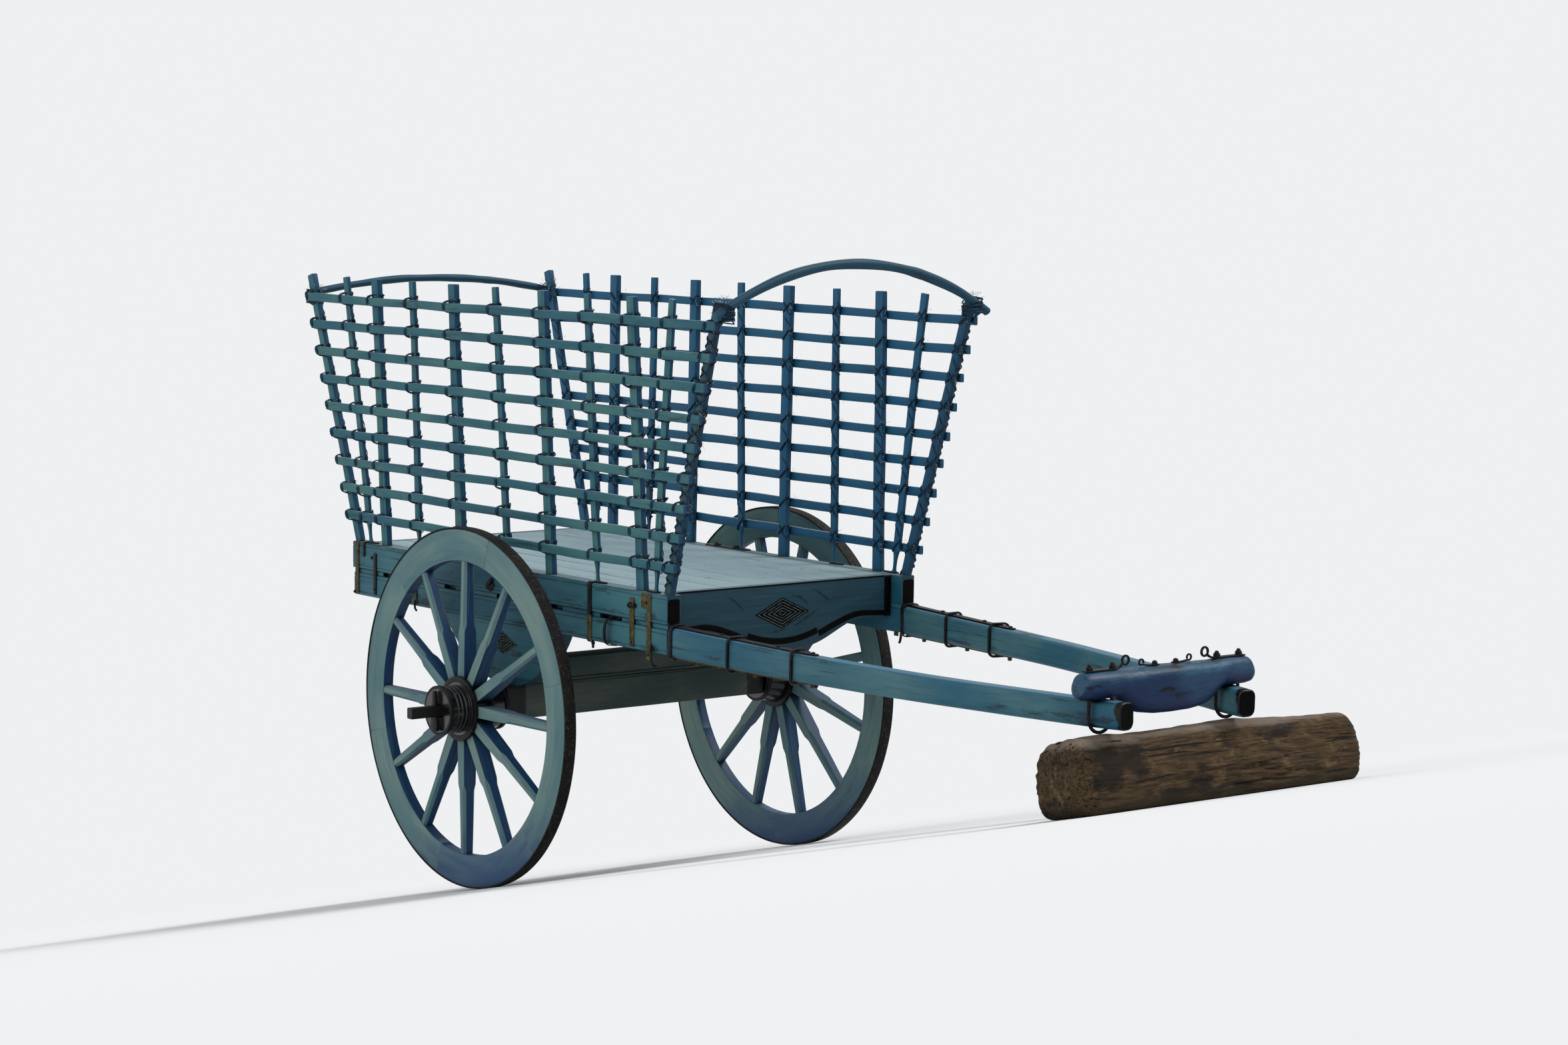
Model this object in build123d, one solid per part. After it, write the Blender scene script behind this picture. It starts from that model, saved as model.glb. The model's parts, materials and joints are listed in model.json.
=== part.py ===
from build123d import *
import os
from math import asin, atan2, cos, degrees, hypot, radians, sin, sqrt

# A two-wheeled bullock cart with a lashed lattice on each side. All lengths are in millimetres.
# The cart is drawn standing level: X forward to the yoke, Y to the cart's left, Z up, the axle over
# the origin and the wheels on z = 0. At the end it is tipped nose down about its axle until the
# U-bolts of the yoke lie on the log, as it is parked.

# Clearances
SEAT = 0.3            # between two pieces that rest on or fit into each other
WHEEL_GAP = 5.0       # between a turning wheel and what is fixed beside it
ARM_PLAY = 0.3        # between the axle arm and the bore of the nave, on the radius

# Wheels
WHEEL_RADIUS = 750.0
WHEEL_Y = 825.0       # from the middle of the cart to the middle of a wheel
LEFT_TURN = -15.0     # how far the left wheel has rolled on from the right one, in degrees
TYRE_THICK = 7.0
TYRE_WIDTH = 54.0
FELLOE_DEPTH = 130.0
FELLOE_WIDTH = 50.0
FELLOE_COUNT = 6
FELLOE_JOINT = 1.2    # open line between two felloes
FELLOE_TURN = 0.25    # turn of the first joint from the first spoke, as a share of a felloe
FELLOE_EDGE = 4.0     # chamfer along the inner edges
SPOKE_COUNT = 12
SPOKE_FOOT = (49.0, 68.0)    # width across, depth along the axle at the nave
SPOKE_TIP = (38.0, 46.0)     # the same at the rim
SPOKE_BED = 3.0              # depth of the flat under a spoke's foot on the nave
SPOKE_SQUARE = 208.0         # length from the nave that is left square
SPOKE_STOP = 28.0            # length over which the chamfers run in
SPOKE_ARRIS = 1.5            # chamfer of the square part
SPOKE_CHAMFER = (11.0, 9.0)  # chamfer after the stop and at the rim

# Naves and their iron hoops
NAVE_OUTER_Y = 970.0
NAVE_INNER_Y = 680.0
NAVE_WAIST = 98.0      # radius of the turned outer end
NAVE_BARREL = 112.0    # radius where the spokes enter
NAVE_TAIL = 96.0       # radius of the inner end
BARREL_HALF = 36.0     # half the length of the barrel
GROOVE_DEPTH = 5.0
GROOVE_WIDTH = 8.0
GROOVE_COUNT = 3
HOOP_SINK = 5.0        # how deep an end hoop is let into the nave
END_HOOP_WIDTH = 18.0
END_HOOP_OUT = 5.5     # how far an end hoop stands out of the turned end
BREAST_HOOP_WIDTH = 13.0
BREAST_HOOP_RADIUS = 135.0

# Axle
ARM_RADIUS = 30.0
ARM_OVER = 2.0              # arm past the outer end of the nave
AXLE_LAP = 1.0              # how deep the arm runs into the beam, and the stub into the arm
AXLE_TREE_DEPTH = 144.0     # along X
AXLE_TREE_DROP = 58.0       # below the axle line
AXLE_TREE_RISE = 85.0       # above the axle line
AXLE_TREE_EDGE = 8.0
AXLE_TIP_Y = 1107.0
STUB_WIDE = 38.0
STUB_TALL = 45.0
BOLSTER_DEPTH = 132.0
BOLSTER_TALL = 98.0
MOULDING = 7.0              # bead along the faces of the bolster
MOULDING_EDGE = 4.2
LINCHPIN_WIDE = 24.0        # through the stub
LINCHPIN_THICK = 16.0
LINCHPIN_TALL = 165.0
LINCHPIN_BODY_WIDE = 44.0   # below the stub

# Body: rails along each side, boards and deck
DECK_RISE = 572.0           # top of the deck above the axle line
RAIL_OUT_Y = 635.0
RAIL_THICK = 70.0
RAIL_TALL = 117.0
RAIL_REAR_X = -1212.0
RAIL_FRONT_X = 1130.0
STRIP_TALL = 18.0
LOWER_RAIL_TALL = 99.0
LOWER_SHORT = 12.0          # how much shorter the lower rail is at the rear
RAIL_EDGE = 5.0             # chamfer along the rails
# Slots in the strip, where the bearers end: x of the middle, width
SLOTS = [(-937.0, 60.0), (-432.0, 84.0), (-34.0, 84.0), (368.0, 84.0), (746.0, 150.0)]
BEARER_WIDE = 76.0
TONGUE_RECESS = 24.0        # how far a bearer's tongue stays behind the rail's face
PLANK_COUNT = 8
PLANK_THICK = 24.0
PLANK_JOINT = 2.0
CHEEK_THICK = 62.0
CHEEK_REAR_X = -470.0
CHEEK_FRONT_X = 400.0
CHEEK_SEAT = 170.0          # length that sits on the axle tree
CHEEK_BOW = (0.7, 0.4)      # where the lower edge passes: share of the reach, share of the drop
BOARD_INSET = 87.0          # middle of an end board from the rails' ends
BOARD_THICK = 38.0
BOARD_END_TALL = 171.0
BOARD_WAIST_TALL = 164.0
BOARD_BELLY_TALL = 266.0
BOARD_WAIST_Y = 440.0
BOARD_BELLY_Y = 100.0

# Lattice: uprights inside, rails outside, both sides alike; heights are above the deck
LATTICE_FOOT_Y = 606.0      # middle of an upright at the deck
LATTICE_TOP_Y = 638.0
LATTICE_RISE = 1163.0
BIG = (50.0, 28.0)          # width, thickness of a large upright
SMALL = (37.0, 18.0)
CORNER = (42.0, 28.0)
# Uprights from the rear: x at the deck, x at the top, size, way that an iron foot points or 0
UPRIGHTS = [
    (-1191.0, -1549.0, CORNER, 0),
    (-1096.0, -1251.0, SMALL, 1),
    (-974.0, -1009.0, BIG, 0),
    (-702.0, -711.0, SMALL, 1),
    (-378.0, -399.0, BIG, 0),
    (-16.0, -74.0, SMALL, 1),
    (291.0, 267.0, BIG, 0),
    (629.0, 586.0, SMALL, 1),
    (929.0, 887.0, BIG, 0),
    (1026.0, 1159.0, SMALL, -1),
    (1109.0, 1455.0, CORNER, 0),
]
UPRIGHT_TIP = 9.0           # chamfer at the top of an upright
LATTICE_RAIL_COUNT = 9
LATTICE_RAIL_RISE = 112.0   # middle of the lowest rail
LATTICE_RAIL_STEP = 119.5
LATTICE_RAIL_TALL = 36.0
LATTICE_RAIL_THICK = 17.0
LATTICE_RAIL_OVER = 18.0    # past the face of a corner upright
FOOT_NECK = (14.0, 12.0)    # section of a small upright's iron foot above its plate
FOOT_HEAD = (22.0, 16.0)    # the same under the upright
FOOT_TALL = 80.0
FOOT_PLATE = (84.0, 22.0, 6.0)
FOOT_HEEL = 21.0            # from the stem to the plate's heel, and to where its toe narrows
FOOT_TOE = 6.0              # width of the toe's tip

# Bows between the tops of the two sides: y of an end, its drop below the tops of the uprights, rise of the
# middle over the ends, radius of the pole
FRONT_BOW = (690.0, 60.0, 200.0, 21.0)
REAR_BOW = (646.0, 85.0, 62.0, 18.0)
BOW_SIDES = 12

# Shafts, their middles below the deck at each end
SHAFT_TIP_X = 3382.0
SHAFT_TIP_Y = 297.0
SHAFT_TIP_DROP = 214.0
SHAFT_TIP = (78.0, 100.0)   # width, height
SHAFT_ROOT_Y = 600.0
SHAFT_ROOT_DROP = 182.0
SHAFT_ROOT = (76.0, 117.0)
SHAFT_CORNER = 14.0         # cut off the section's corners
SHAFT_SPARE = 60.0          # extra length behind the root before it is cut square
PLATE_START = 16.0          # from the root
PLATE_END = 775.0
PLATE_WIDE = 34.0
PLATE_THICK = 6.0
PLATE_GAPS = 3              # clearances from the shaft to a band: under a plate, over it, one for the taper
BAND_ALONG = [20.0, 345.0, 675.0]   # bands along the shaft from its root
BAND_WIDE = 11.0
BAND_THICK = 10.0

# Yoke
YOKE_BACK = 120.0           # middle of the yoke behind the tips of the shafts
YOKE_HALF = 420.0
YOKE_SEAT_TALL = 98.0       # height of the yoke where it lies on a shaft
YOKE_SEAT_GAP = 0.6         # room for the slope of the shaft's top
# Yoke sections from the middle: y, height below the top, depth along X, cut corner
YOKE_SECTIONS = [
    (0.0, 168.0, 138.0, 40.0),
    (150.0, 158.0, 130.0, 38.0),
    (250.0, YOKE_SEAT_TALL, 112.0, 28.0),
    (388.0, YOKE_SEAT_TALL, 100.0, 28.0),
    (YOKE_HALF, 90.0, 90.0, 26.0),
]
UBOLT_ROD = 6.5             # radius to the corners of the eight-sided rod
UBOLT_SIDES = 8
UBOLT_SPACE = 10.0          # between the shaft and the inside of the bolt
UBOLT_DROP = 12.0           # free space below the shaft inside the bolt
UBOLT_THREAD = 8.0          # rod above the nut
NUT_ACROSS = 22.0
NUT_TALL = 14.0
EYE_BAR = (30.0, 6.0)       # width, thickness of the bar on the yoke
EYE_BAR_OVER = 24.0         # bar past the middle of a bolt
EYE_LIFT = 10.0             # under the eye, above the yoke
EYE_RADIUS = 20.0
EYE_BORE = 12.0
EYE_THICK = 12.0
EYE_REACH = 62.0            # from the inner bolt to the eye
HOOK_Y = (52.0, 118.0)      # small single-bolt eyes near the middle: bolt, ring
HOOK_RADIUS = 14.0
HOOK_BORE = 7.0
HOOK_THICK = 9.0
HOOK_LIFT = 2.0             # under the ring, above the yoke
HOOK_BAR = (18.0, 5.0)      # width, thickness
HOOK_OVER = 16.0            # bar past the middle of the bolt
HOOK_NUT = (9.0, 12.0)      # radius to the corners, height

# Log under the shafts
LOG_TALL = 280.0
LOG_NEAR_Y = -500.0
LOG_FAR_Y = 910.0
LOG_BACK = 52.0             # middle of the log behind the lowest points of the U-bolts
# Outline of the log across its length: x from the middle, z
LOG_OUTLINE = [(-140.0, 0.0), (136.0, 0.0), (158.0, 110.0), (138.0, 226.0), (96.0, LOG_TALL),
               (-62.0, LOG_TALL), (-126.0, 246.0), (-160.0, 130.0)]
LOG_ROUND = 26.0

# Irons on the rails: x of the middle, width, lowest and highest point from the top of the deck.
# None stands for an end that is bent under the lower rail or over the upper one.
STRAP_THICK = 5.0
STRAP_OVER = 12.0           # how far a bent end lies on the deck
STRAP_UNDER = 40.0          # how far a bent end lies under the lower rail
SIDE_STRAPS = [
    (-1170.0, 24.0, -230.0, None),
    (-1024.0, 22.0, -218.0, -38.0),
    (607.0, 26.0, None, None),
    (900.0, 28.0, -224.0, -32.0),
    (1014.0, 26.0, -266.0, -4.0),
]

# Worked out from the values above
DECK_Z = WHEEL_RADIUS + DECK_RISE
AXLE_TREE_TOP = WHEEL_RADIUS + AXLE_TREE_RISE
RAIL_IN_Y = RAIL_OUT_Y - RAIL_THICK
RAIL_MIDDLE_Y = RAIL_OUT_Y - RAIL_THICK / 2
LOWER_REAR_X = RAIL_REAR_X + LOWER_SHORT
REAR_BOARD_X = RAIL_REAR_X + BOARD_INSET
FRONT_BOARD_X = RAIL_FRONT_X - BOARD_INSET
YOKE_X = SHAFT_TIP_X - YOKE_BACK
RAIL_Z = DECK_Z - RAIL_TALL
STRIP_Z = RAIL_Z - SEAT - STRIP_TALL
LOWER_TOP_Z = STRIP_Z - SEAT
LOWER_Z = LOWER_TOP_Z - LOWER_RAIL_TALL
FELLOE_OUT = WHEEL_RADIUS - TYRE_THICK - SEAT
FELLOE_IN = WHEEL_RADIUS - TYRE_THICK - FELLOE_DEPTH
SPOKE_START = NAVE_BARREL - SPOKE_BED + SEAT
SPOKE_END = sqrt((FELLOE_IN - SEAT) ** 2 - (SPOKE_TIP[0] / 2) ** 2)
LATTICE_TALL = hypot(LATTICE_RISE, LATTICE_TOP_Y - LATTICE_FOOT_Y)
LATTICE_LEAN = degrees(atan2(LATTICE_TOP_Y - LATTICE_FOOT_Y, LATTICE_RISE))


def mirrored(shape):
    """The same piece for the cart's right side."""
    return mirror(shape, about=Plane.XZ)


def block(x0, x1, y0, y1, z0, z1):
    """A rectangular solid between two corners."""
    box = Box(x1 - x0, y1 - y0, z1 - z0)
    return Pos((x0 + x1) / 2, (y0 + y1) / 2, (z0 + z1) / 2) * box


def turned(profile):
    """A solid turned about the axle line from (radius, y) points."""
    face = Polygon(*profile, align=None)
    return Pos(0, 0, WHEEL_RADIUS) * revolve(face, Axis.Y)


def ring(outer, inner, y_middle, width):
    """A flat ring about the axle line."""
    y0, y1 = y_middle - width / 2, y_middle + width / 2
    return turned([(inner, y0), (outer, y0), (outer, y1), (inner, y1)])


def tyre():
    """Iron tyre: one closed hoop around the felloes."""
    return ring(WHEEL_RADIUS, WHEEL_RADIUS - TYRE_THICK, WHEEL_Y, TYRE_WIDTH)


def felloes():
    """Six curved wooden segments with an open line at each joint."""
    rim = ring(FELLOE_OUT, FELLOE_IN, WHEEL_Y, FELLOE_WIDTH)
    inner_edges = rim.edges().filter_by(GeomType.CIRCLE).sort_by(SortBy.RADIUS)[:2]
    rim = chamfer(inner_edges, FELLOE_EDGE)
    axle_line = Pos(0, WHEEL_Y, WHEEL_RADIUS)
    for i in range(FELLOE_COUNT):
        turn = (i + FELLOE_TURN) * 360 / FELLOE_COUNT
        cut = Box(WHEEL_RADIUS, 2 * FELLOE_WIDTH, FELLOE_JOINT)
        rim -= axle_line * Rot(0, turn, 0) * Pos(WHEEL_RADIUS / 2, 0, 0) * cut
    return rim


def cut_corners(width, depth, corner):
    """Rectangle with its corners cut off, the section of a hewn timber."""
    a, b = width / 2, depth / 2
    return Polygon((-a, corner - b), (corner - a, -b), (a - corner, -b), (a, corner - b),
                   (a, b - corner), (a - corner, b), (corner - a, b), (-a, b - corner), align=None)


def spokes():
    """Spokes, square at the nave and stop-chamfered towards the rim."""
    shoulder = NAVE_BARREL + SPOKE_SQUARE
    chamfer_foot, chamfer_tip = SPOKE_CHAMFER
    stations = [(SPOKE_START, SPOKE_ARRIS), (shoulder, SPOKE_ARRIS), (shoulder + SPOKE_STOP, chamfer_foot),
                (SPOKE_END, chamfer_tip)]
    sections = []
    for radius, corner in stations:
        share = (radius - SPOKE_START) / (SPOKE_END - SPOKE_START)
        width, depth = [a + (b - a) * share for a, b in zip(SPOKE_FOOT, SPOKE_TIP)]
        sections.append(Pos(0, 0, radius) * cut_corners(width, depth, corner))
    blank = loft(sections, ruled=True)
    axle_line = Pos(0, WHEEL_Y, WHEEL_RADIUS)
    return [axle_line * Rot(0, i * 360 / SPOKE_COUNT, 0) * blank for i in range(SPOKE_COUNT)]


def nave():
    """Turned wooden hub, grooved outside the spokes, bored for the axle arm, with a flat for each spoke."""
    bore = ARM_RADIUS + ARM_PLAY
    barrel_out, barrel_in = WHEEL_Y + BARREL_HALF, WHEEL_Y - BARREL_HALF
    waist_end = barrel_out + BREAST_HOOP_WIDTH + SEAT
    hoop_out = NAVE_OUTER_Y - END_HOOP_WIDTH - SEAT
    hoop_in = NAVE_INNER_Y + END_HOOP_WIDTH + SEAT
    profile = [(bore, NAVE_OUTER_Y), (NAVE_WAIST - HOOP_SINK, NAVE_OUTER_Y),
               (NAVE_WAIST - HOOP_SINK, hoop_out), (NAVE_WAIST, hoop_out)]
    pitch = (hoop_out - waist_end) / (GROOVE_COUNT + 1)
    for i in range(GROOVE_COUNT):
        y = hoop_out - (i + 1) * pitch
        profile += [(NAVE_WAIST, y + GROOVE_WIDTH / 2), (NAVE_WAIST - GROOVE_DEPTH, y),
                    (NAVE_WAIST, y - GROOVE_WIDTH / 2)]
    profile += [(NAVE_WAIST, waist_end), (NAVE_BARREL, waist_end), (NAVE_BARREL, barrel_in),
                (NAVE_BARREL, barrel_in - BREAST_HOOP_WIDTH - SEAT), (NAVE_TAIL, hoop_in),
                (NAVE_TAIL - HOOP_SINK, hoop_in), (NAVE_TAIL - HOOP_SINK, NAVE_INNER_Y),
                (bore, NAVE_INNER_Y)]
    hub = turned(profile)
    axle_line = Pos(0, WHEEL_Y, WHEEL_RADIUS)
    bed = Pos(0, 0, NAVE_BARREL) * Box(NAVE_BARREL, 2 * BARREL_HALF, 2 * SPOKE_BED)
    for i in range(SPOKE_COUNT):
        hub -= axle_line * Rot(0, i * 360 / SPOKE_COUNT, 0) * bed
    return hub


def nave_hoops():
    """Four iron hoops: one at each end of the nave and one on each side of the spokes."""
    end = END_HOOP_WIDTH / 2
    breast = BARREL_HALF + BREAST_HOOP_WIDTH / 2
    inner = NAVE_BARREL + SEAT
    return Compound([
        ring(NAVE_WAIST + END_HOOP_OUT, NAVE_WAIST - HOOP_SINK + SEAT, NAVE_OUTER_Y - end, END_HOOP_WIDTH),
        ring(BREAST_HOOP_RADIUS, inner, WHEEL_Y + breast, BREAST_HOOP_WIDTH - SEAT),
        ring(BREAST_HOOP_RADIUS, inner, WHEEL_Y - breast, BREAST_HOOP_WIDTH - SEAT),
        ring(NAVE_TAIL + END_HOOP_OUT, NAVE_TAIL - HOOP_SINK + SEAT, NAVE_INNER_Y + end, END_HOOP_WIDTH),
    ])


def axle_tree():
    """Axle beam with a round arm at each end and a flat stub with a slot for the linchpin."""
    shoulder = NAVE_INNER_Y - WHEEL_GAP
    half = AXLE_TREE_DEPTH / 2
    beam = block(-half, half, -shoulder, shoulder, WHEEL_RADIUS - AXLE_TREE_DROP, AXLE_TREE_TOP)
    beam = chamfer(beam.edges().filter_by(Axis.Y), AXLE_TREE_EDGE)
    root_y, stub_y = shoulder - AXLE_LAP, NAVE_OUTER_Y + ARM_OVER
    arm = turned([(0, root_y), (ARM_RADIUS, root_y), (ARM_RADIUS, stub_y), (0, stub_y)])
    low = WHEEL_RADIUS - STUB_TALL / 2
    stub = block(-STUB_WIDE / 2, STUB_WIDE / 2, stub_y - AXLE_LAP, AXLE_TIP_Y, low, low + STUB_TALL)
    pin_y = NAVE_OUTER_Y + WHEEL_GAP + LINCHPIN_THICK / 2
    slot = Pos(0, pin_y, WHEEL_RADIUS) * Box(LINCHPIN_WIDE + 2 * SEAT, LINCHPIN_THICK + 2 * SEAT,
                                             3 * ARM_RADIUS)
    end = arm + stub - slot
    return beam + end + mirrored(end)


def linchpin():
    """Flat iron pin driven up through the stub's slot, broad below the stub."""
    y0 = NAVE_OUTER_Y + WHEEL_GAP
    y1 = y0 + LINCHPIN_THICK
    low = WHEEL_RADIUS - LINCHPIN_TALL / 2
    shoulder = WHEEL_RADIUS - STUB_TALL / 2 - SEAT
    pin = block(-LINCHPIN_WIDE / 2, LINCHPIN_WIDE / 2, y0, y1, low, low + LINCHPIN_TALL)
    body = block(-LINCHPIN_BODY_WIDE / 2, LINCHPIN_BODY_WIDE / 2, y0, y1, low, shoulder)
    return pin + body


def axle_bolster():
    """Upper axle board between the cheeks, with a bead along both faces."""
    half = BOLSTER_DEPTH / 2
    side = RAIL_MIDDLE_Y - CHEEK_THICK / 2 - SEAT
    low = AXLE_TREE_TOP + SEAT
    board = block(-half, half, -side, side, low, low + BOLSTER_TALL)
    bead = block(-half - MOULDING, half + MOULDING, -side, side, low, low + 2 * MOULDING)
    return board + chamfer(bead.edges().filter_by(Axis.Y), MOULDING_EDGE)


def side_rail():
    """Upper rail, flush with the deck."""
    rail = block(RAIL_REAR_X, RAIL_FRONT_X, RAIL_IN_Y, RAIL_OUT_Y, RAIL_Z, DECK_Z)
    return chamfer(rail.edges().filter_by(Axis.X).group_by(Axis.Y)[-1], RAIL_EDGE)


def lower_rail():
    """Lower rail under the strip."""
    rail = block(LOWER_REAR_X, RAIL_FRONT_X, RAIL_IN_Y, RAIL_OUT_Y, LOWER_Z, LOWER_TOP_Z)
    return chamfer(rail.edges().filter_by(Axis.X).group_by(Axis.Y)[-1], RAIL_EDGE)


def rail_strip():
    """Thin strip between the two rails, left open at each slot."""
    ends = [LOWER_REAR_X]
    for x, width in SLOTS:
        ends += [x - width / 2, x + width / 2]
    ends.append(RAIL_FRONT_X)
    out = RAIL_OUT_Y - RAIL_EDGE
    return [block(a, b, RAIL_IN_Y, out, STRIP_Z, STRIP_Z + STRIP_TALL) for a, b in zip(ends[::2], ends[1::2])]


def cheek():
    """Deep board under the rails that carries the body on the axle, bellied below."""
    top, seat_z = LOWER_Z - SEAT, AXLE_TREE_TOP + SEAT
    half = CHEEK_SEAT / 2
    reach, share = CHEEK_BOW
    bow_z = seat_z + share * (top - seat_z)
    front = ThreePointArc((half, seat_z), (reach * CHEEK_FRONT_X, bow_z), (CHEEK_FRONT_X, top))
    rear = ThreePointArc((-half, seat_z), (reach * CHEEK_REAR_X, bow_z), (CHEEK_REAR_X, top))
    outline = Line((-half, seat_z), (half, seat_z)) + front + rear
    outline += Line((CHEEK_REAR_X, top), (CHEEK_FRONT_X, top))
    face = Plane.XZ * make_face(outline)
    return Pos(0, RAIL_MIDDLE_Y, 0) * extrude(face, CHEEK_THICK / 2, both=True)


def end_board(x_middle):
    """Board across the end of the deck, with a deep belly between two shallow arches."""
    side = RAIL_IN_Y - SEAT
    end_z, waist_z = DECK_Z - BOARD_END_TALL, DECK_Z - BOARD_WAIST_TALL
    belly_z = DECK_Z - BOARD_BELLY_TALL
    outline = Line((side, end_z), (side, DECK_Z)) + Line((side, DECK_Z), (-side, DECK_Z))
    outline += Line((-side, DECK_Z), (-side, end_z))
    for s in (1, -1):
        outline += Line((s * side, end_z), (s * BOARD_WAIST_Y, waist_z))
        mid_y, mid_z = (BOARD_WAIST_Y + BOARD_BELLY_Y) / 2, (waist_z + belly_z) / 2
        outline += ThreePointArc((s * BOARD_WAIST_Y, waist_z),
                                 (s * (mid_y + BOARD_WAIST_Y) / 2, (3 * waist_z + mid_z) / 4),
                                 (s * mid_y, mid_z))
        outline += ThreePointArc((s * mid_y, mid_z),
                                 (s * (mid_y + BOARD_BELLY_Y) / 2, (3 * belly_z + mid_z) / 4),
                                 (s * BOARD_BELLY_Y, belly_z))
    outline += Line((BOARD_BELLY_Y, belly_z), (-BOARD_BELLY_Y, belly_z))
    face = Plane.YZ * make_face(outline)
    return Pos(x_middle, 0, 0) * extrude(face, BOARD_THICK / 2, both=True)


def cross_bearers():
    """Bearers under the planks; a tongue at each end lies in a slot between the rails."""
    top = DECK_Z - PLANK_THICK - SEAT
    side = RAIL_IN_Y - SEAT
    tip = RAIL_OUT_Y - TONGUE_RECESS
    pieces = []
    for x, width in SLOTS:
        wide = min(BEARER_WIDE, width - 2 * SEAT) / 2
        bearer = block(x - wide, x + wide, -side, side, STRIP_Z, top)
        tongue = block(x - wide, x + wide, -tip, tip, STRIP_Z, STRIP_Z + STRIP_TALL)
        pieces.append(bearer + tongue)
    return pieces


def deck_planks():
    """Planks along the cart between the rails and the end boards."""
    rear, front = REAR_BOARD_X + BOARD_THICK / 2 + SEAT, FRONT_BOARD_X - BOARD_THICK / 2 - SEAT
    side = RAIL_IN_Y - SEAT
    pitch = 2 * side / PLANK_COUNT
    planks = []
    for i in range(PLANK_COUNT):
        low = -side + i * pitch
        planks.append(block(rear, front, low, low + pitch - PLANK_JOINT, DECK_Z - PLANK_THICK, DECK_Z))
    return planks


def lattice_plane():
    """Plane of the uprights' outer faces on the left: its X along the cart, its Y up the slope."""
    lean = radians(LATTICE_LEAN)
    foot_y = LATTICE_FOOT_Y + BIG[1] / 2 / cos(lean)
    return Plane(origin=(0, foot_y, DECK_Z), x_dir=(-1, 0, 0), z_dir=(0, cos(lean), -sin(lean)))


def uprights():
    """Uprights of one side, leaning out like a fan, with chamfered tops."""
    plane = lattice_plane()
    pieces = []
    for foot, top, (wide, thick), toe in UPRIGHTS:
        slope = (top - foot) / LATTICE_TALL
        half = wide / 2 * sqrt(1 + slope * slope)
        start = FOOT_TALL + FOOT_PLATE[2] if toe else SEAT
        base = foot + slope * start
        neck = top - slope * UPRIGHT_TIP
        points = [(base - half, start), (base + half, start), (neck + half, LATTICE_TALL - UPRIGHT_TIP),
                  (top + half - UPRIGHT_TIP, LATTICE_TALL), (top - half + UPRIGHT_TIP, LATTICE_TALL),
                  (neck - half, LATTICE_TALL - UPRIGHT_TIP)]
        face = plane * Polygon(*[(-x, s) for x, s in points], align=None)
        pieces += extrude(face, thick, dir=-plane.z_dir).solids()
    return pieces


def lattice_edge(s, upright):
    """x of the middle of an upright at the height s up the slope."""
    foot, top = upright[:2]
    return foot + (top - foot) * s / LATTICE_TALL


def lattice_rails():
    """Rails of one side, outside the uprights and a little longer than the lattice is there."""
    plane = lattice_plane().offset(SEAT)
    pieces = []
    for i in range(LATTICE_RAIL_COUNT):
        s = (LATTICE_RAIL_RISE + i * LATTICE_RAIL_STEP) / cos(radians(LATTICE_LEAN))
        over = CORNER[0] / 2 + LATTICE_RAIL_OVER
        x0 = lattice_edge(s, UPRIGHTS[0]) - over
        x1 = lattice_edge(s, UPRIGHTS[-1]) + over
        bar = Pos(-(x0 + x1) / 2, s) * Rectangle(x1 - x0, LATTICE_RAIL_TALL)
        pieces += extrude(plane * bar, LATTICE_RAIL_THICK, dir=plane.z_dir).solids()
    return pieces


def upright_feet():
    """Iron feet of the small uprights of the left side: a stem on a plate with a pointed toe."""
    long, wide, thick = FOOT_PLATE
    y = LATTICE_FOOT_Y + BIG[1] / 2 - SMALL[1] / 2
    lean = radians(LATTICE_LEAN)
    base = DECK_Z + SEAT + thick
    head = DECK_Z + (FOOT_TALL + thick) * cos(lean) - SMALL[1] / 2 * sin(lean) - SEAT
    head_y = y + (FOOT_TALL + thick) * sin(lean)
    pieces = []
    for foot, top, size, toe in UPRIGHTS:
        if not toe:
            continue
        ahead = (top - foot) * (FOOT_TALL + thick) / LATTICE_TALL
        outline = [(-FOOT_HEEL, -wide / 2), (FOOT_HEEL, -wide / 2), (long - FOOT_HEEL, -FOOT_TOE / 2),
                   (long - FOOT_HEEL, FOOT_TOE / 2), (FOOT_HEEL, wide / 2), (-FOOT_HEEL, wide / 2)]
        face = Polygon(*[(toe * a, b) for a, b in outline[::toe]], align=None)
        plate = Pos(foot, y, base - thick) * extrude(face, thick, dir=(0, 0, 1))
        stem = loft([Pos(foot, y, base - thick / 2) * Rectangle(*FOOT_NECK),
                     Pos(foot + ahead, head_y, head) * Rectangle(*FOOT_HEAD)], ruled=True)
        pieces.append(plate + stem)
    return pieces


def bow(x, end_y, drop, rise, radius):
    """Many-sided pole bent in one arc from side to side."""
    end_z = DECK_Z + LATTICE_RISE - drop
    arc = ThreePointArc((x, -end_y, end_z), (x, 0, end_z + rise), (x, end_y, end_z))
    section = Plane(arc @ 0, x_dir=(1, 0, 0), z_dir=arc % 0) * RegularPolygon(radius, BOW_SIDES)
    return sweep(section, arc)


def bow_x(end_y, drop, rise, radius, upright, way):
    """x of a bow that lies against the outer edge of a leaning corner upright."""
    bend = (end_y ** 2 + rise ** 2) / (2 * rise)
    inner_y = LATTICE_TOP_Y - CORNER[1] / 2
    crossing = LATTICE_RISE - drop + rise - bend + sqrt(bend ** 2 - inner_y ** 2)
    slope = (upright[1] - upright[0]) / LATTICE_TALL
    reach = (CORNER[0] / 2 + radius + SEAT) * sqrt(1 + slope ** 2)
    return lattice_edge(crossing, upright) + way * reach


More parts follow.
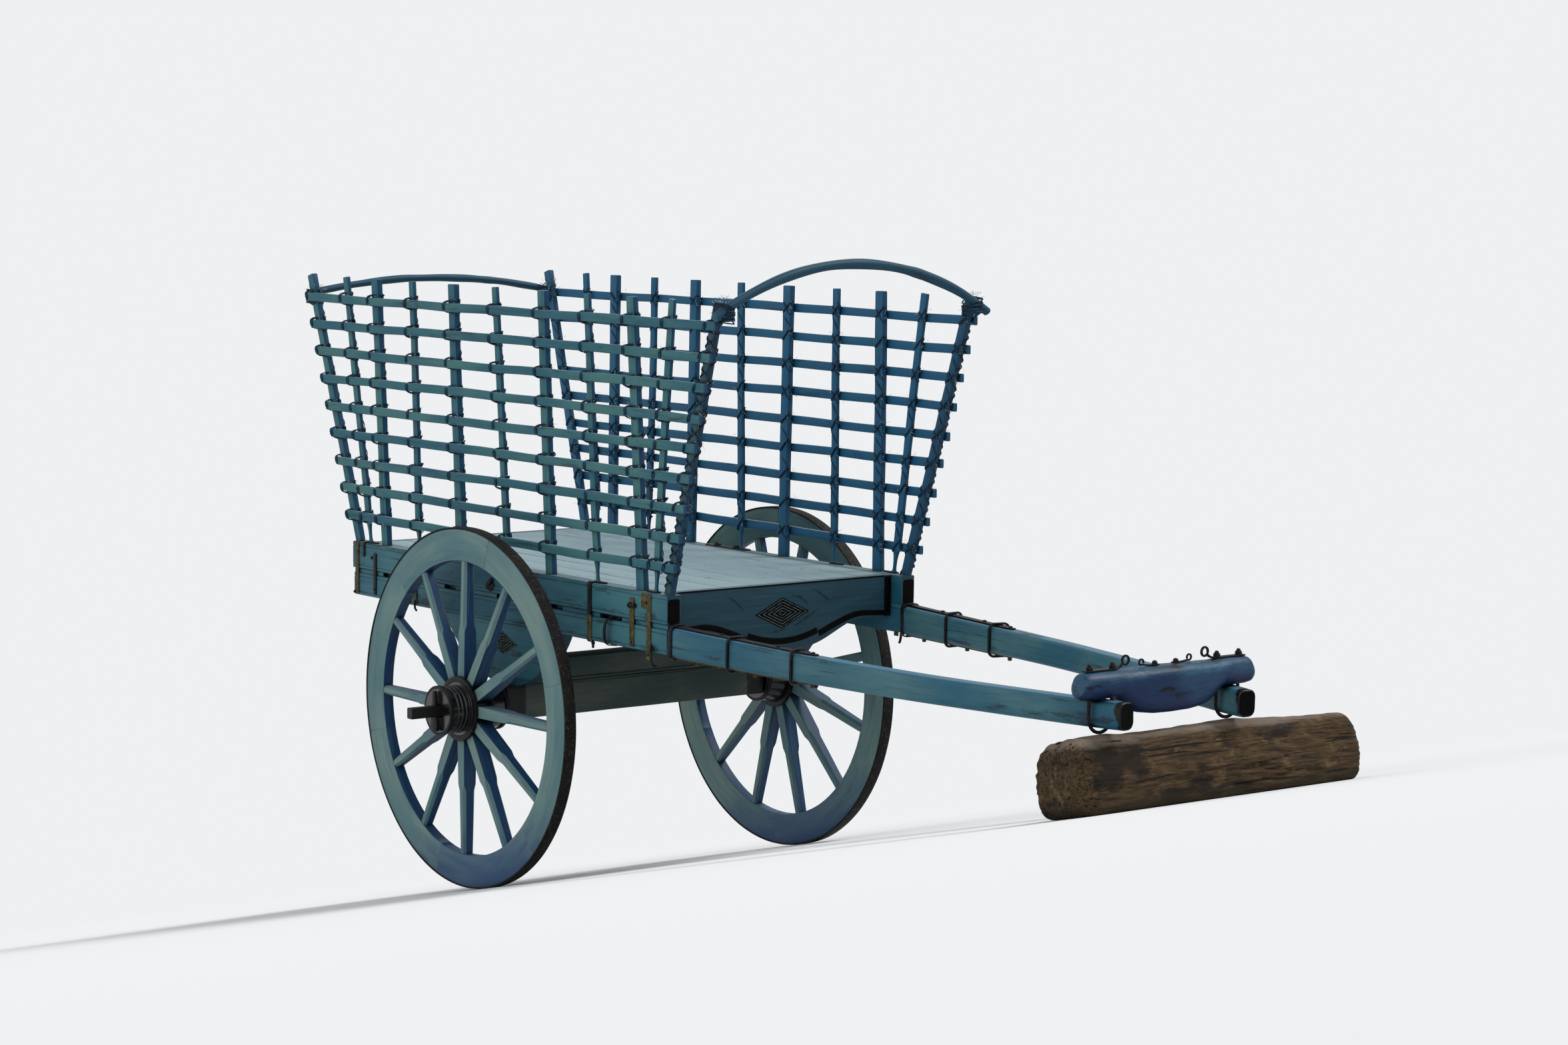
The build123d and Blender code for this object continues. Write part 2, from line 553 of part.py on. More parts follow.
def shaft_line(along):
    """Middle of the left shaft at a distance from its root."""
    root = Vector(RAIL_FRONT_X + SEAT, SHAFT_ROOT_Y, DECK_Z - SHAFT_ROOT_DROP)
    tip = Vector(SHAFT_TIP_X, SHAFT_TIP_Y, DECK_Z - SHAFT_TIP_DROP)
    return root + (tip - root).normalized() * along


def shaft_size(along):
    """Width and height of the shaft at a distance from its root."""
    share = along / SHAFT_LENGTH
    return [a + (b - a) * share for a, b in zip(SHAFT_ROOT, SHAFT_TIP)]


def shaft_plane(along):
    """Plane across the left shaft: its X to the cart's right, its Y up."""
    way = (shaft_line(1) - shaft_line(0)).normalized()
    return Plane(origin=shaft_line(along), x_dir=(way.Y, -way.X, 0), z_dir=way)


def shaft():
    """Tapered shaft with cut corners, cut square across the cart at its root."""
    ends = (-SHAFT_SPARE, SHAFT_LENGTH)
    pole = loft([shaft_plane(a) * cut_corners(*shaft_size(a), SHAFT_CORNER) for a in ends], ruled=True)
    return pole & block(RAIL_FRONT_X + SEAT, 2 * SHAFT_TIP_X, 0, RAIL_OUT_Y * 2, 0, DECK_Z)


def shaft_plates():
    """Iron plates along the top and the bottom of the shaft, at its root."""
    pieces = []
    length = PLATE_END - PLATE_START
    thin, thick = shaft_size(PLATE_END)[1], shaft_size(PLATE_START)[1]
    lift = (thin + thick) / 4 + SEAT + PLATE_THICK / 2
    taper = degrees(atan2((thick - thin) / 2, length))
    for way in (1, -1):
        plate = Rot(way * taper, 0, 0) * Box(PLATE_WIDE, PLATE_THICK, length)
        pieces.append(shaft_plane((PLATE_START + PLATE_END) / 2) * Pos(0, way * lift, 0) * plate)
    return pieces


def shaft_bands():
    """Iron bands around the shaft and its plates."""
    pieces = []
    for along in BAND_ALONG:
        wide, tall = shaft_size(along)
        inner_w, inner_h = wide + 2 * SEAT, tall + 2 * (PLATE_THICK + PLATE_GAPS * SEAT)
        outer_corner = SHAFT_CORNER + BAND_THICK * (2 - sqrt(2))
        face = cut_corners(inner_w + 2 * BAND_THICK, inner_h + 2 * BAND_THICK, outer_corner)
        face -= cut_corners(inner_w, inner_h, SHAFT_CORNER)
        pieces += extrude(shaft_plane(along) * face, BAND_WIDE / 2, both=True).solids()
    return pieces


def yoke():
    """Solid yoke with a deep belly between the shafts, drilled for the U-bolts."""
    sections = []
    for y, tall, deep, corner in YOKE_SECTIONS[:0:-1] + YOKE_SECTIONS:
        side = -1 if len(sections) < len(YOKE_SECTIONS) - 1 else 1
        plane = Plane(origin=(YOKE_X, side * y, YOKE_TOP - tall / 2), x_dir=(1, 0, 0), z_dir=(0, 1, 0))
        sections.append(plane * cut_corners(deep, tall, corner))
    body = loft(sections, ruled=True)
    for y in ubolt_legs():
        for side in (1, -1):
            body -= Pos(YOKE_X, side * y, YOKE_TOP) * Cylinder(UBOLT_ROD + SEAT, 4 * YOKE_SEAT_TALL)
    return body


def shaft_at(x):
    """Middle y, middle z, width and height of the left shaft at x."""
    share = (x - RAIL_FRONT_X - SEAT) / (SHAFT_TIP_X - RAIL_FRONT_X - SEAT)
    line = shaft_line(SHAFT_LENGTH * share)
    wide, tall = shaft_size(SHAFT_LENGTH * share)
    return line.Y, line.Z, wide, tall


def ubolt_legs():
    """y of the two legs of the left U-bolt."""
    y, _, wide, _ = shaft_at(YOKE_X)
    reach = wide / 2 + UBOLT_SPACE + UBOLT_ROD
    return [y - reach, y + reach]


def ubolt_bottom():
    """Lowest z of a U-bolt while the cart is level."""
    _, z, _, tall = shaft_at(YOKE_X)
    return z - tall / 2 - UBOLT_DROP - 2 * UBOLT_ROD


def yoke_ubolts():
    """U-bolts up around each shaft and through the yoke, with a nut on each leg."""
    low, high = ubolt_bottom() + UBOLT_ROD, YOKE_TOP + EYE_BAR[1] + NUT_TALL + UBOLT_THREAD
    y0, y1 = ubolt_legs()
    radius = (y1 - y0) / 2
    middle = (y0 + y1) / 2
    path = Line((YOKE_X, y0, high), (YOKE_X, y0, low + radius))
    path += ThreePointArc((YOKE_X, y0, low + radius), (YOKE_X, middle, low), (YOKE_X, y1, low + radius))
    path += Line((YOKE_X, y1, low + radius), (YOKE_X, y1, high))
    start = Plane(origin=(YOKE_X, y0, high), x_dir=(1, 0, 0), z_dir=(0, 0, -1))
    rod = sweep(start * RegularPolygon(UBOLT_ROD, UBOLT_SIDES), path)
    for y in (y0, y1):
        nut = extrude(RegularPolygon(NUT_ACROSS / 2, 6, major_radius=False), NUT_TALL)
        rod += Pos(YOKE_X, y, YOKE_TOP + EYE_BAR[1] + 2 * SEAT) * nut
    return rod


def eye(y, z, radius, bore, thick):
    """Ring with its hole along X."""
    ring_face = Circle(radius) - Circle(bore)
    return Pos(YOKE_X, y, z) * extrude(Plane.YZ * ring_face, thick / 2, both=True)


def yoke_eyes():
    """Bar under the nuts of each U-bolt, its inner end turned up into an eye."""
    wide, thick = EYE_BAR
    y0, y1 = ubolt_legs()
    low, high = YOKE_TOP + SEAT, YOKE_TOP + SEAT + thick
    eye_y, eye_z = y0 - EYE_REACH, YOKE_TOP + EYE_RADIUS + EYE_LIFT
    bar = block(YOKE_X - wide / 2, YOKE_X + wide / 2, y0 - EYE_BAR_OVER, y1 + EYE_BAR_OVER, low, high)
    for y in (y0, y1):
        bar -= Pos(YOKE_X, y, low) * Cylinder(UBOLT_ROD + SEAT, 4 * thick)
    start, wall = y0 - EYE_BAR_OVER + thick, eye_y + (EYE_BORE + EYE_RADIUS) / 2
    rise = Polygon((start, low), (start, high), (wall, eye_z + thick), (wall, eye_z - thick), align=None)
    neck = Pos(YOKE_X, 0, 0) * extrude(Plane.YZ * rise, EYE_THICK / 2, both=True)
    return bar + neck + eye(eye_y, eye_z, EYE_RADIUS, EYE_BORE, EYE_THICK)


def yoke_hooks():
    """Small single-bolt eyes near the middle of the yoke."""
    bolt_y, ring_y = HOOK_Y
    wide, thick = HOOK_BAR
    radius, tall = HOOK_NUT
    low, high = YOKE_TOP + SEAT, YOKE_TOP + SEAT + thick
    bar = block(YOKE_X - wide / 2, YOKE_X + wide / 2, bolt_y - HOOK_OVER, ring_y, low, high)
    nut = Pos(YOKE_X, bolt_y, high) * extrude(RegularPolygon(radius, 6), tall)
    return bar + nut + eye(ring_y, YOKE_TOP + HOOK_LIFT + HOOK_RADIUS, HOOK_RADIUS, HOOK_BORE, HOOK_THICK)


def side_straps():
    """Flat irons on the outer face of the left rails, some with an end bent round the rails."""
    out = RAIL_OUT_Y + SEAT + STRAP_THICK
    over_z, under_z = DECK_Z + SEAT, LOWER_Z - SEAT - STRAP_THICK
    pieces = []
    for x, wide, low, high in SIDE_STRAPS:
        x0, x1 = x - wide / 2, x + wide / 2
        bottom = under_z if low is None else DECK_Z + low
        top = over_z + STRAP_THICK if high is None else DECK_Z + high
        strap = block(x0, x1, RAIL_OUT_Y + SEAT, out, bottom, top)
        if low is None:
            strap += block(x0, x1, RAIL_OUT_Y - STRAP_UNDER, out, under_z, under_z + STRAP_THICK)
        if high is None:
            strap += block(x0, x1, RAIL_OUT_Y - STRAP_OVER, out, over_z, over_z + STRAP_THICK)
        pieces.append(strap)
    return pieces


def park_angle():
    """Nose-down angle at which the lowest points of the U-bolts come to the top of the log."""
    rise = ubolt_bottom() - WHEEL_RADIUS
    drop = WHEEL_RADIUS - LOG_TALL - SEAT
    return degrees(atan2(rise, YOKE_X) + asin(drop / hypot(rise, YOKE_X)))


def rest_log():
    """Old squared log lying across under the shafts, drawn on the floor."""
    face = Plane.XZ * Polygon(*LOG_OUTLINE, align=None)
    log = extrude(face, -(LOG_FAR_Y - LOG_NEAR_Y))
    log = fillet(log.edges().filter_by(Axis.Y), LOG_ROUND)
    turn = radians(park_angle())
    bolt_x = YOKE_X * cos(turn) + (ubolt_bottom() - WHEEL_RADIUS) * sin(turn)
    return Pos(bolt_x - LOG_BACK, LOG_NEAR_Y, 0) * log


SHAFT_LENGTH = Vector(SHAFT_TIP_X - RAIL_FRONT_X - SEAT, SHAFT_TIP_Y - SHAFT_ROOT_Y,
                      SHAFT_ROOT_DROP - SHAFT_TIP_DROP).length
YOKE_TOP = shaft_at(YOKE_X)[1] + shaft_at(YOKE_X)[3] / 2 + YOKE_SEAT_GAP + YOKE_SEAT_TALL
FRONT_BOW_X = bow_x(*FRONT_BOW, UPRIGHTS[-1], 1)
REAR_BOW_X = bow_x(*REAR_BOW, UPRIGHTS[0], -1)


def cart_pieces():
    """Every node of the cart, standing level."""
    wheel = {"tyre": tyre(), "felloes": felloes(), "spokes": spokes(), "nave": nave(), "nave_hoops": nave_hoops()}
    sides = {
        "linchpin": linchpin(), "side_rail": side_rail(), "lower_rail": lower_rail(),
        "rail_strip": rail_strip(), "cheek": cheek(), "uprights": uprights(),
        "lattice_rails": lattice_rails(), "upright_feet": upright_feet(), "shaft": shaft(),
        "shaft_plates": shaft_plates(), "shaft_bands": shaft_bands(), "side_straps": side_straps(),
    }
    nodes = {}
    rolled = Pos(0, 0, WHEEL_RADIUS) * Rot(0, LEFT_TURN, 0) * Pos(0, 0, -WHEEL_RADIUS)
    for name, piece in (wheel | sides).items():
        solids = [s for p in (piece if isinstance(piece, list) else [piece]) for s in p.solids()]
        nodes[name + "_left"] = [rolled * s for s in solids] if name in wheel else solids
        nodes[name + "_right"] = [mirrored(s) for s in solids]
    both = {"yoke_ubolts": yoke_ubolts(), "yoke_eyes": yoke_eyes(), "yoke_hooks": yoke_hooks()}
    for name, piece in both.items():
        solids = piece.solids()
        nodes[name] = solids + [mirrored(s) for s in solids]
    single = {
        "axle_tree": axle_tree(), "axle_bolster": axle_bolster(), "front_board": end_board(FRONT_BOARD_X),
        "rear_board": end_board(REAR_BOARD_X), "cross_bearers": cross_bearers(), "deck_planks": deck_planks(),
        "front_bow": bow(FRONT_BOW_X, *FRONT_BOW), "rear_bow": bow(REAR_BOW_X, *REAR_BOW),
        "yoke": yoke(),
    }
    for name, piece in single.items():
        nodes[name] = [s for p in (piece if isinstance(piece, list) else [piece]) for s in p.solids()]
    return nodes


def main():
    """Tip the cart onto its log, centre it on the floor and write one file for each node."""
    tip = Pos(0, 0, WHEEL_RADIUS) * Rot(0, park_angle(), 0) * Pos(0, 0, -WHEEL_RADIUS)
    nodes = {name: [tip * s for s in solids] for name, solids in cart_pieces().items()}
    nodes["rest_log"] = rest_log().solids()
    boxes = [s.bounding_box() for solids in nodes.values() for s in solids]
    middle = (min(b.min.X for b in boxes) + max(b.max.X for b in boxes)) / 2
    print("park angle", round(park_angle(), 4), "axle x", round(-middle, 4))
    os.makedirs("parts", exist_ok=True)
    for name, solids in nodes.items():
        placed = [Pos(-middle, 0, 0) * s for s in solids]
        shape = placed[0] if len(placed) == 1 else Compound(placed)
        shape.label = name
        export_step(shape, f"parts/{name}.step")


main()
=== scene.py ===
import json
from math import atan2, cos, hypot, pi, radians, sin

import bpy
import numpy as np
from mathutils import Matrix, Vector


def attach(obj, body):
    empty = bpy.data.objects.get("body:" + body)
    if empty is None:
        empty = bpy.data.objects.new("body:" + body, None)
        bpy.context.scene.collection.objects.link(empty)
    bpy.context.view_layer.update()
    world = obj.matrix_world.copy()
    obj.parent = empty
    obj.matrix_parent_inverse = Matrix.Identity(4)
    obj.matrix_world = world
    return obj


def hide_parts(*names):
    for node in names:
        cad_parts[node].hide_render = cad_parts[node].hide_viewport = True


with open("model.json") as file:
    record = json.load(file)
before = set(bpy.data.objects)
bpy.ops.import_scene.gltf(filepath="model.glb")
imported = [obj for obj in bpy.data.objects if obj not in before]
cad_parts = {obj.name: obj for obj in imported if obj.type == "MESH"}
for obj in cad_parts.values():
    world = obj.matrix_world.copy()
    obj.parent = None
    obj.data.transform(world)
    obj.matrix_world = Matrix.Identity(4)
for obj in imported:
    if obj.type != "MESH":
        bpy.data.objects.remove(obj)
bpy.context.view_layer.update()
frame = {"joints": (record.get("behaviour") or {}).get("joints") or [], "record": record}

# The cart at rest: it is tipped nose down about its axle, with the U-bolts of the yoke on a log. Pieces are
# worked out for a cart that stands level, X forward from the axle, Y to its left and Z up from the ground
# under the wheels, and are then tipped by the angle that the deck has in the record.
HUB_Z = 0.75
deck_up = next(m["axis"] for m in frame["record"]["mounts"] if m["name"] == "deck")
axle_at = frame["joints"][0]["pos_m"]
TIP = atan2(deck_up[0], deck_up[2])
TIPPED = np.array([[cos(TIP), 0, sin(TIP)], [0, 1, 0], [-sin(TIP), 0, cos(TIP)]])


def parked(points):
    """Level points, less the axle's own height, turned by the tip about Y and moved to the axle."""
    return (np.asarray(points, float) - [0, 0, HUB_Z]) @ TIPPED.T + [axle_at[0], 0, axle_at[2]]


# Camera: the photograph's own place and angle, raised by under a degree about the cart so that the floor is
# seen from above. The frame of the picture is 2353 by 1568.
PICTURE_WIDE, FOCAL_PIXELS = 2353, 5422.89
AZIMUTH, ELEVATION, ROLL = radians(51.7276), radians(5.2509), radians(0.6570)
CAMERA_AT = np.array([12.4533, -8.9895, 2.8987])
LOOK_AT = np.array([0.55, 0.0, 1.35])
RAISE = radians(0.7)

back = np.array([sin(AZIMUTH) * cos(ELEVATION), -cos(AZIMUTH) * cos(ELEVATION), sin(ELEVATION)])
right = np.cross([0, 0, 1], back)
right /= np.linalg.norm(right)
up = np.cross(back, right)
right, up = cos(ROLL) * right + sin(ROLL) * up, cos(ROLL) * up - sin(ROLL) * right
turn = TIPPED @ np.stack([right, up, back], 1)
aim, spot = parked(LOOK_AT), parked(CAMERA_AT)
lift = np.array(Matrix.Rotation(-RAISE, 3, turn[:, 0]))
spot = aim + lift @ (spot - aim)
turn = lift @ turn
lens = bpy.data.cameras.new("photo_camera")
lens.sensor_width = 36
lens.lens = FOCAL_PIXELS * lens.sensor_width / PICTURE_WIDE
lens.clip_end = 200
camera = bpy.data.objects.new("photo_camera", lens)
camera.matrix_world = Matrix([[*turn[i], spot[i]] for i in range(3)] + [[0, 0, 0, 1]])
bpy.context.scene.collection.objects.link(camera)
bpy.context.scene.camera = camera
bpy.context.scene.view_settings.view_transform = "Standard"


class Wire:
    """One output in a material. Arithmetic on it adds Math nodes, and node() adds any other node."""

    def __init__(self, tree, socket=None):
        self.tree, self.socket = tree, socket

    def node(self, kind, sockets=(), out=0, **settings):
        """Adds a node: its settings, then the value or link of each named socket. Gives one output."""
        made = self.tree.nodes.new("ShaderNode" + kind)
        for key, value in settings.items():
            setattr(made, key, value)
        for key, value in dict(sockets).items():
            if isinstance(value, Wire):
                self.tree.links.new(value.socket, made.inputs[key])
            else:
                made.inputs[key].default_value = value
        return Wire(self.tree, made.outputs[out])

    def maths(self, operation, *values):
        return self.node("Math", dict(enumerate(values)), operation=operation)

    def __add__(self, other):
        return self.maths("ADD", self, other)

    def __sub__(self, other):
        return self.maths("SUBTRACT", self, other)

    def __rsub__(self, other):
        return self.maths("SUBTRACT", other, self)

    def __mul__(self, other):
        return self.maths("MULTIPLY", self, other)

    __radd__, __rmul__ = __add__, __mul__

    def between(self, low, high):
        """0 below low, 1 above high, and a smooth step from one to the other."""
        return self.node("MapRange", {0: self, 1: low, 2: high}, interpolation_type="SMOOTHSTEP")

    def mix(self, a, b, blend="MIX"):
        """Colour a where this mask is 0, and b where it is 1."""
        return self.node("Mix", {0: self, 6: a, 7: b}, out=2, data_type="RGBA", blend_type=blend)

    def noise(self, scale, stretch=(1, 1, 1), detail=4.0, rough=0.55):
        """Noise on this vector, drawn out along the axes whose stretch is below 1."""
        stretched = self.node("VectorMath", {0: self, 1: stretch}, operation="MULTIPLY")
        sockets = {"Vector": stretched, "Scale": scale, "Detail": detail, "Roughness": rough}
        return self.node("TexNoise", sockets)

    def part(self, axis):
        """One coordinate of this vector, by its number."""
        return self.node("SeparateXYZ", {0: self}, out=axis)

    def place(self, axis):
        """One coordinate of the point in the cart's frame."""
        return self.node("TexCoord", out="Object").part(axis)

    def facing(self, axis):
        """One coordinate of the way that the face looks."""
        return self.node("TexCoord", out="Normal").part(axis)


def material(name):
    """A new node material without its first shader, and a wire to build it with."""
    made = bpy.data.materials.new(name)
    made.use_nodes = True
    made.node_tree.nodes.clear()
    return made, Wire(made.node_tree)


def shade(wire, colour, rough, bump=None, bump_height=0.001, metal=0.0, coat=0.0, sheen_back=0.2):
    """Ends a material: a Principled shader from a colour, a roughness and the height of a bump in metres.
    sheen_back is the specular level, low on weathered paint and wood."""
    sockets = {"Base Color": colour, "Roughness": rough, "Metallic": metal, "Coat Weight": coat,
               "Specular IOR Level": sheen_back}
    if bump is not None:
        sockets["Normal"] = wire.node("Bump", {"Height": bump, "Distance": bump_height, "Strength": 1.0})
    surface = wire.node("BsdfPrincipled", sockets)
    end = wire.tree.nodes.new("ShaderNodeOutputMaterial")
    wire.tree.links.new(surface.socket, end.inputs["Surface"])


def tone(red, green, blue):
    """A colour written as a screen shows it, 0 to 255, made linear."""
    parts = np.array([red, green, blue]) / 255
    linear = np.where(parts <= 0.04045, parts / 12.92, ((parts + 0.055) / 1.055) ** 2.4)
    return (*linear.tolist(), 1.0)


# Floor and backdrop: one pale studio sweep. The floor keeps the cart's shadow, and far from the cart it takes
# the backdrop's own colour, so that no line shows where they meet.
BACKDROP = (0.86, 0.87, 0.88, 1.0)
FLOOR_HALF = 60.0

world = bpy.data.worlds.new("studio")
bpy.context.scene.world = world
world.use_nodes = True
world.node_tree.nodes.clear()
sky = Wire(world.node_tree)
rays = [sky.node("LightPath", out=name) for name in ("Is Camera Ray", "Is Glossy Ray", "Is Transmission Ray")]
seen = rays[0].maths("MAXIMUM", rays[0], rays[2])
ambient = sky.node("Background", {"Color": (0.93, 0.96, 1.0, 1), "Strength": 0.48})
shown = sky.node("Background", {"Color": BACKDROP, "Strength": 1.0})
glint = sky.node("Background", {"Color": BACKDROP, "Strength": 0.8})
mixed = sky.node("MixShader", {0: rays[1], 1: ambient, 2: glint})
mixed = sky.node("MixShader", {0: seen, 1: mixed, 2: shown})
sky_end = world.node_tree.nodes.new("ShaderNodeOutputWorld")
world.node_tree.links.new(mixed.socket, sky_end.inputs["Surface"])

ground = bpy.data.meshes.new("studio_floor")
corner_signs = np.array([[-1, -1, 0], [1, -1, 0], [1, 1, 0], [-1, 1, 0]])
ground.from_pydata((corner_signs * FLOOR_HALF).tolist(), [], [[0, 1, 2, 3]])
studio_floor = bpy.data.objects.new("studio_floor", ground)
bpy.context.scene.collection.objects.link(studio_floor)
floor_paint, w = material("studio_floor")
place = w.node("TexCoord", out="Object")
far = place.node("VectorMath", {0: place}, out="Value", operation="LENGTH").between(4.0, 15.0)
lit = w.node("BsdfDiffuse", {"Color": (0.70, 0.71, 0.72, 1)})
glow = w.node("Emission", {"Color": BACKDROP})
camera_ray = w.node("LightPath", out="Is Camera Ray")
surface = w.node("MixShader", {0: far * camera_ray, 1: lit, 2: glow})
floor_end = w.tree.nodes.new("ShaderNodeOutputMaterial")
w.tree.links.new(surface.socket, floor_end.inputs["Surface"])
ground.materials.append(floor_paint)

# Lamps: three broad distant ones, so that the floor is evenly lit: a key high behind the cart's left side,
# where the sun stands in the photograph, and two soft fills on the camera's side.
LAMPS = [("key", (0.5, 0.75, 1.0), 22, 2.3, (1.0, 0.975, 0.94)),
         ("fill", (0.8, -0.7, 0.55), 60, 1.15, (0.97, 0.985, 1.0)),
         ("side", (-0.7, -0.9, 0.5), 60, 0.7, (1.0, 0.99, 0.97))]
for name, from_way, spread, strength, colour in LAMPS:
    lamp = bpy.data.lights.new(name, "SUN")
    lamp.angle, lamp.energy, lamp.color = radians(spread), strength, colour
    lamp_object = bpy.data.objects.new(name, lamp)
    lamp_object.location = Vector(from_way) * 6
    lamp_object.rotation_mode = "QUATERNION"
    lamp_object.rotation_quaternion = Vector(from_way).to_track_quat("Z", "Y")
    bpy.context.scene.collection.objects.link(lamp_object)


# Tyres: one flat iron hoop shrunk on each wheel, rusted dark brown, its tread scraped and dusty and its edges
# rolled a little over the felloes.
SIDES = ((1, "left"), (-1, "right"))
WHEEL_Y = 0.825


def ripple(points, scale, seed):
    """Smooth pseudo-random heights about 0 over points: twice the mean of nine sine waves whose directions,
    lengths and phases are seeded."""
    draw = np.random.default_rng(seed)
    ways = draw.normal(size=(9, 3)) * draw.uniform(0.6, 2.0, (9, 1))
    return np.sin(points @ ways.T * scale + draw.uniform(0, 2 * pi, 9)).mean(-1) * 2


def shell(rings, grain, closed=False):
    """A closed skin over rings of points: a quad between neighbours and one face over each end, or none where
    the rings close on themselves. The sign of the volume, a sum of triple products, turns the faces
    outward."""
    n, m = rings.shape[:2]
    first = np.arange(n if closed else n - 1)[:, None] * m
    here = np.arange(m)[None, :]
    after, ahead = (here + 1) % m, (first + m) % (n * m)
    quads = np.stack([first + here, first + after, ahead + after, ahead + here], -1).reshape(-1, 4)
    points = rings.reshape(-1, 3)
    p = points[quads] - points.mean(0)
    volume = (p[:, 0] * (np.cross(p[:, 1], p[:, 2]) + np.cross(p[:, 2], p[:, 3]))).sum()
    faces = quads.tolist()
    if not closed:
        faces += [list(range(m))[::-1], list(range((n - 1) * m, n * m))]
        for ring, way in ((rings[0], -1), (rings[-1], 1)):
            q = ring - points.mean(0)
            volume += way * (q[0] * np.cross(q[1:-1], q[2:])).sum()
    if volume < 0:
        faces = [face[::-1] for face in faces]
    return points, grain.reshape(-1, 3), faces


def grained(name):
    """A new finish: its material, a wire, and the vector that runs along a piece's
    grain."""
    made, wire = material(name)
    return made, wire, wire.node("Attribute", out="Vector", attribute_name="grain")


def build(name, shells, finish, *nodes, body="cart", crease=33):
    """One piece from closed shells, tipped with the cart. It rides on a body, has its finish and hides the
    CAD nodes that it stands for."""
    points, grain, faces, count = [], [], [], 0
    for own_points, own_grain, own_faces in shells:
        points.append(own_points)
        grain.append(own_grain)
        faces += [[i + count for i in face] for face in own_faces]
        count += len(own_points)
    mesh = bpy.data.meshes.new(name)
    mesh.from_pydata(parked(np.concatenate(points)).tolist(), [], faces)
    flow = mesh.attributes.new("grain", "FLOAT_VECTOR", "POINT")
    flow.data.foreach_set("vector", np.concatenate(grain).astype(np.float32).ravel())
    mesh.shade_smooth()
    mesh.set_sharp_from_angle(angle=radians(crease))
    mesh.materials.append(finish)
    made = bpy.data.objects.new(name, mesh)
    bpy.context.scene.collection.objects.link(made)
    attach(made, body)
    if nodes:
        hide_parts(*nodes)
    return made


def turned(profile, steps, side, roughness, seed):
    """A closed (radius, y) profile carried round the axle line in steps: x = r sin a, z = r cos a. The y
    counts out from the wheel's middle. roughness is how far the surface wavers."""
    profile = np.asarray(profile, float)
    angle = np.arange(steps)[:, None] * 2 * pi / steps
    r, y = profile[None, :, 0], profile[None, :, 1] + np.zeros((steps, 1))
    flat = np.stack([r * np.sin(angle), y, r * np.cos(angle)], -1)
    r = r + roughness * ripple(flat, 14, seed)
    rings = np.stack([r * np.sin(angle), side * (WHEEL_Y + y), HUB_Z + r * np.cos(angle)], -1)
    grain = np.stack([angle * 0.7 + r * 0, y * side, r + 0 * angle], -1) + seed
    return shell(rings, grain, closed=True)


def rounded(points, radius, steps=3):
    """A (radius, y) outline with each corner cut back by a radius and rounded in steps: each corner becomes
    points of a quadratic curve between the two cuts."""
    points = np.asarray(points, float)
    before, after = np.roll(points, 1, 0) - points, np.roll(points, -1, 0) - points
    far_before, far_after = np.linalg.norm(before, axis=1), np.linalg.norm(after, axis=1)
    cut = np.minimum(radius, np.minimum(far_before, far_after) * 0.45)[:, None]
    a, b = points + before / far_before[:, None] * cut, points + after / far_after[:, None] * cut
    t = np.linspace(0, 1, steps)[None, :, None]
    curve = a[:, None] * (1 - t) ** 2 + points[:, None] * 2 * t * (1 - t) + b[:, None] * t ** 2
    return curve.reshape(-1, 2)


rust, w, flow = grained("tyre_iron")
patches = flow.noise(9, detail=6).between(0.45, 0.62)
pits = flow.noise(150, detail=3)
dust = flow.noise(38, detail=5).between(0.56, 0.68)
specks = flow.noise(190, detail=5, rough=0.75).between(0.60, 0.66)
colour = patches.mix(tone(8, 8, 9), tone(22, 19, 17))
colour = (dust * 0.25).mix(colour, tone(70, 64, 58))
colour = (specks * 0.7).mix(colour, tone(128, 120, 110))
shade(w, colour, 0.5 + pits * 0.35, pits + patches * 0.6, 0.0012, metal=0.35)

TYRE_PROFILE = rounded([(0.750, -0.027), (0.750, 0.027), (0.743, 0.027), (0.743, -0.027)], 0.0022)
for side, word in SIDES:
    build(f"tyre_hoop_{word}", [turned(TYRE_PROFILE, 144, side, 0.0006, 3 + side)], rust, f"tyre_{word}",
          body=f"wheel_{word}")


# Felloes and spokes: six sawn segments and twelve spokes to a wheel. A spoke is square at the nave and
# stop-chamfered from a third of its length. Blue-grey paint, chalky on the faces, a deeper blue on the sides
# as paint kept in shelter and as painted shade, and rubbed off along some edges.
def corners(wide, tall, cut, steps):
    """Outlines of rectangles with each corner cut: two steps give a flat cut, more give a round one. Sizes
    may be arrays, one value for each ring: corner centre plus cut times (cos, sin) of the angle in that
    quarter."""
    wide, tall, cut = np.broadcast_arrays(*[np.atleast_1d(np.asarray(v, float)) for v in (wide, tall, cut)])
    quarter = np.linspace(0, pi / 2, steps)
    angle = (np.array([0, 1, 2, 3])[:, None] * pi / 2 + quarter).ravel()
    side_x = np.repeat([1, -1, -1, 1], steps)
    side_y = np.repeat([1, 1, -1, -1], steps)
    x = side_x * (wide / 2 - cut)[:, None] + cut[:, None] * np.cos(angle)
    y = side_y * (tall / 2 - cut)[:, None] + cut[:, None] * np.sin(angle)
    return np.stack([x, y], -1)


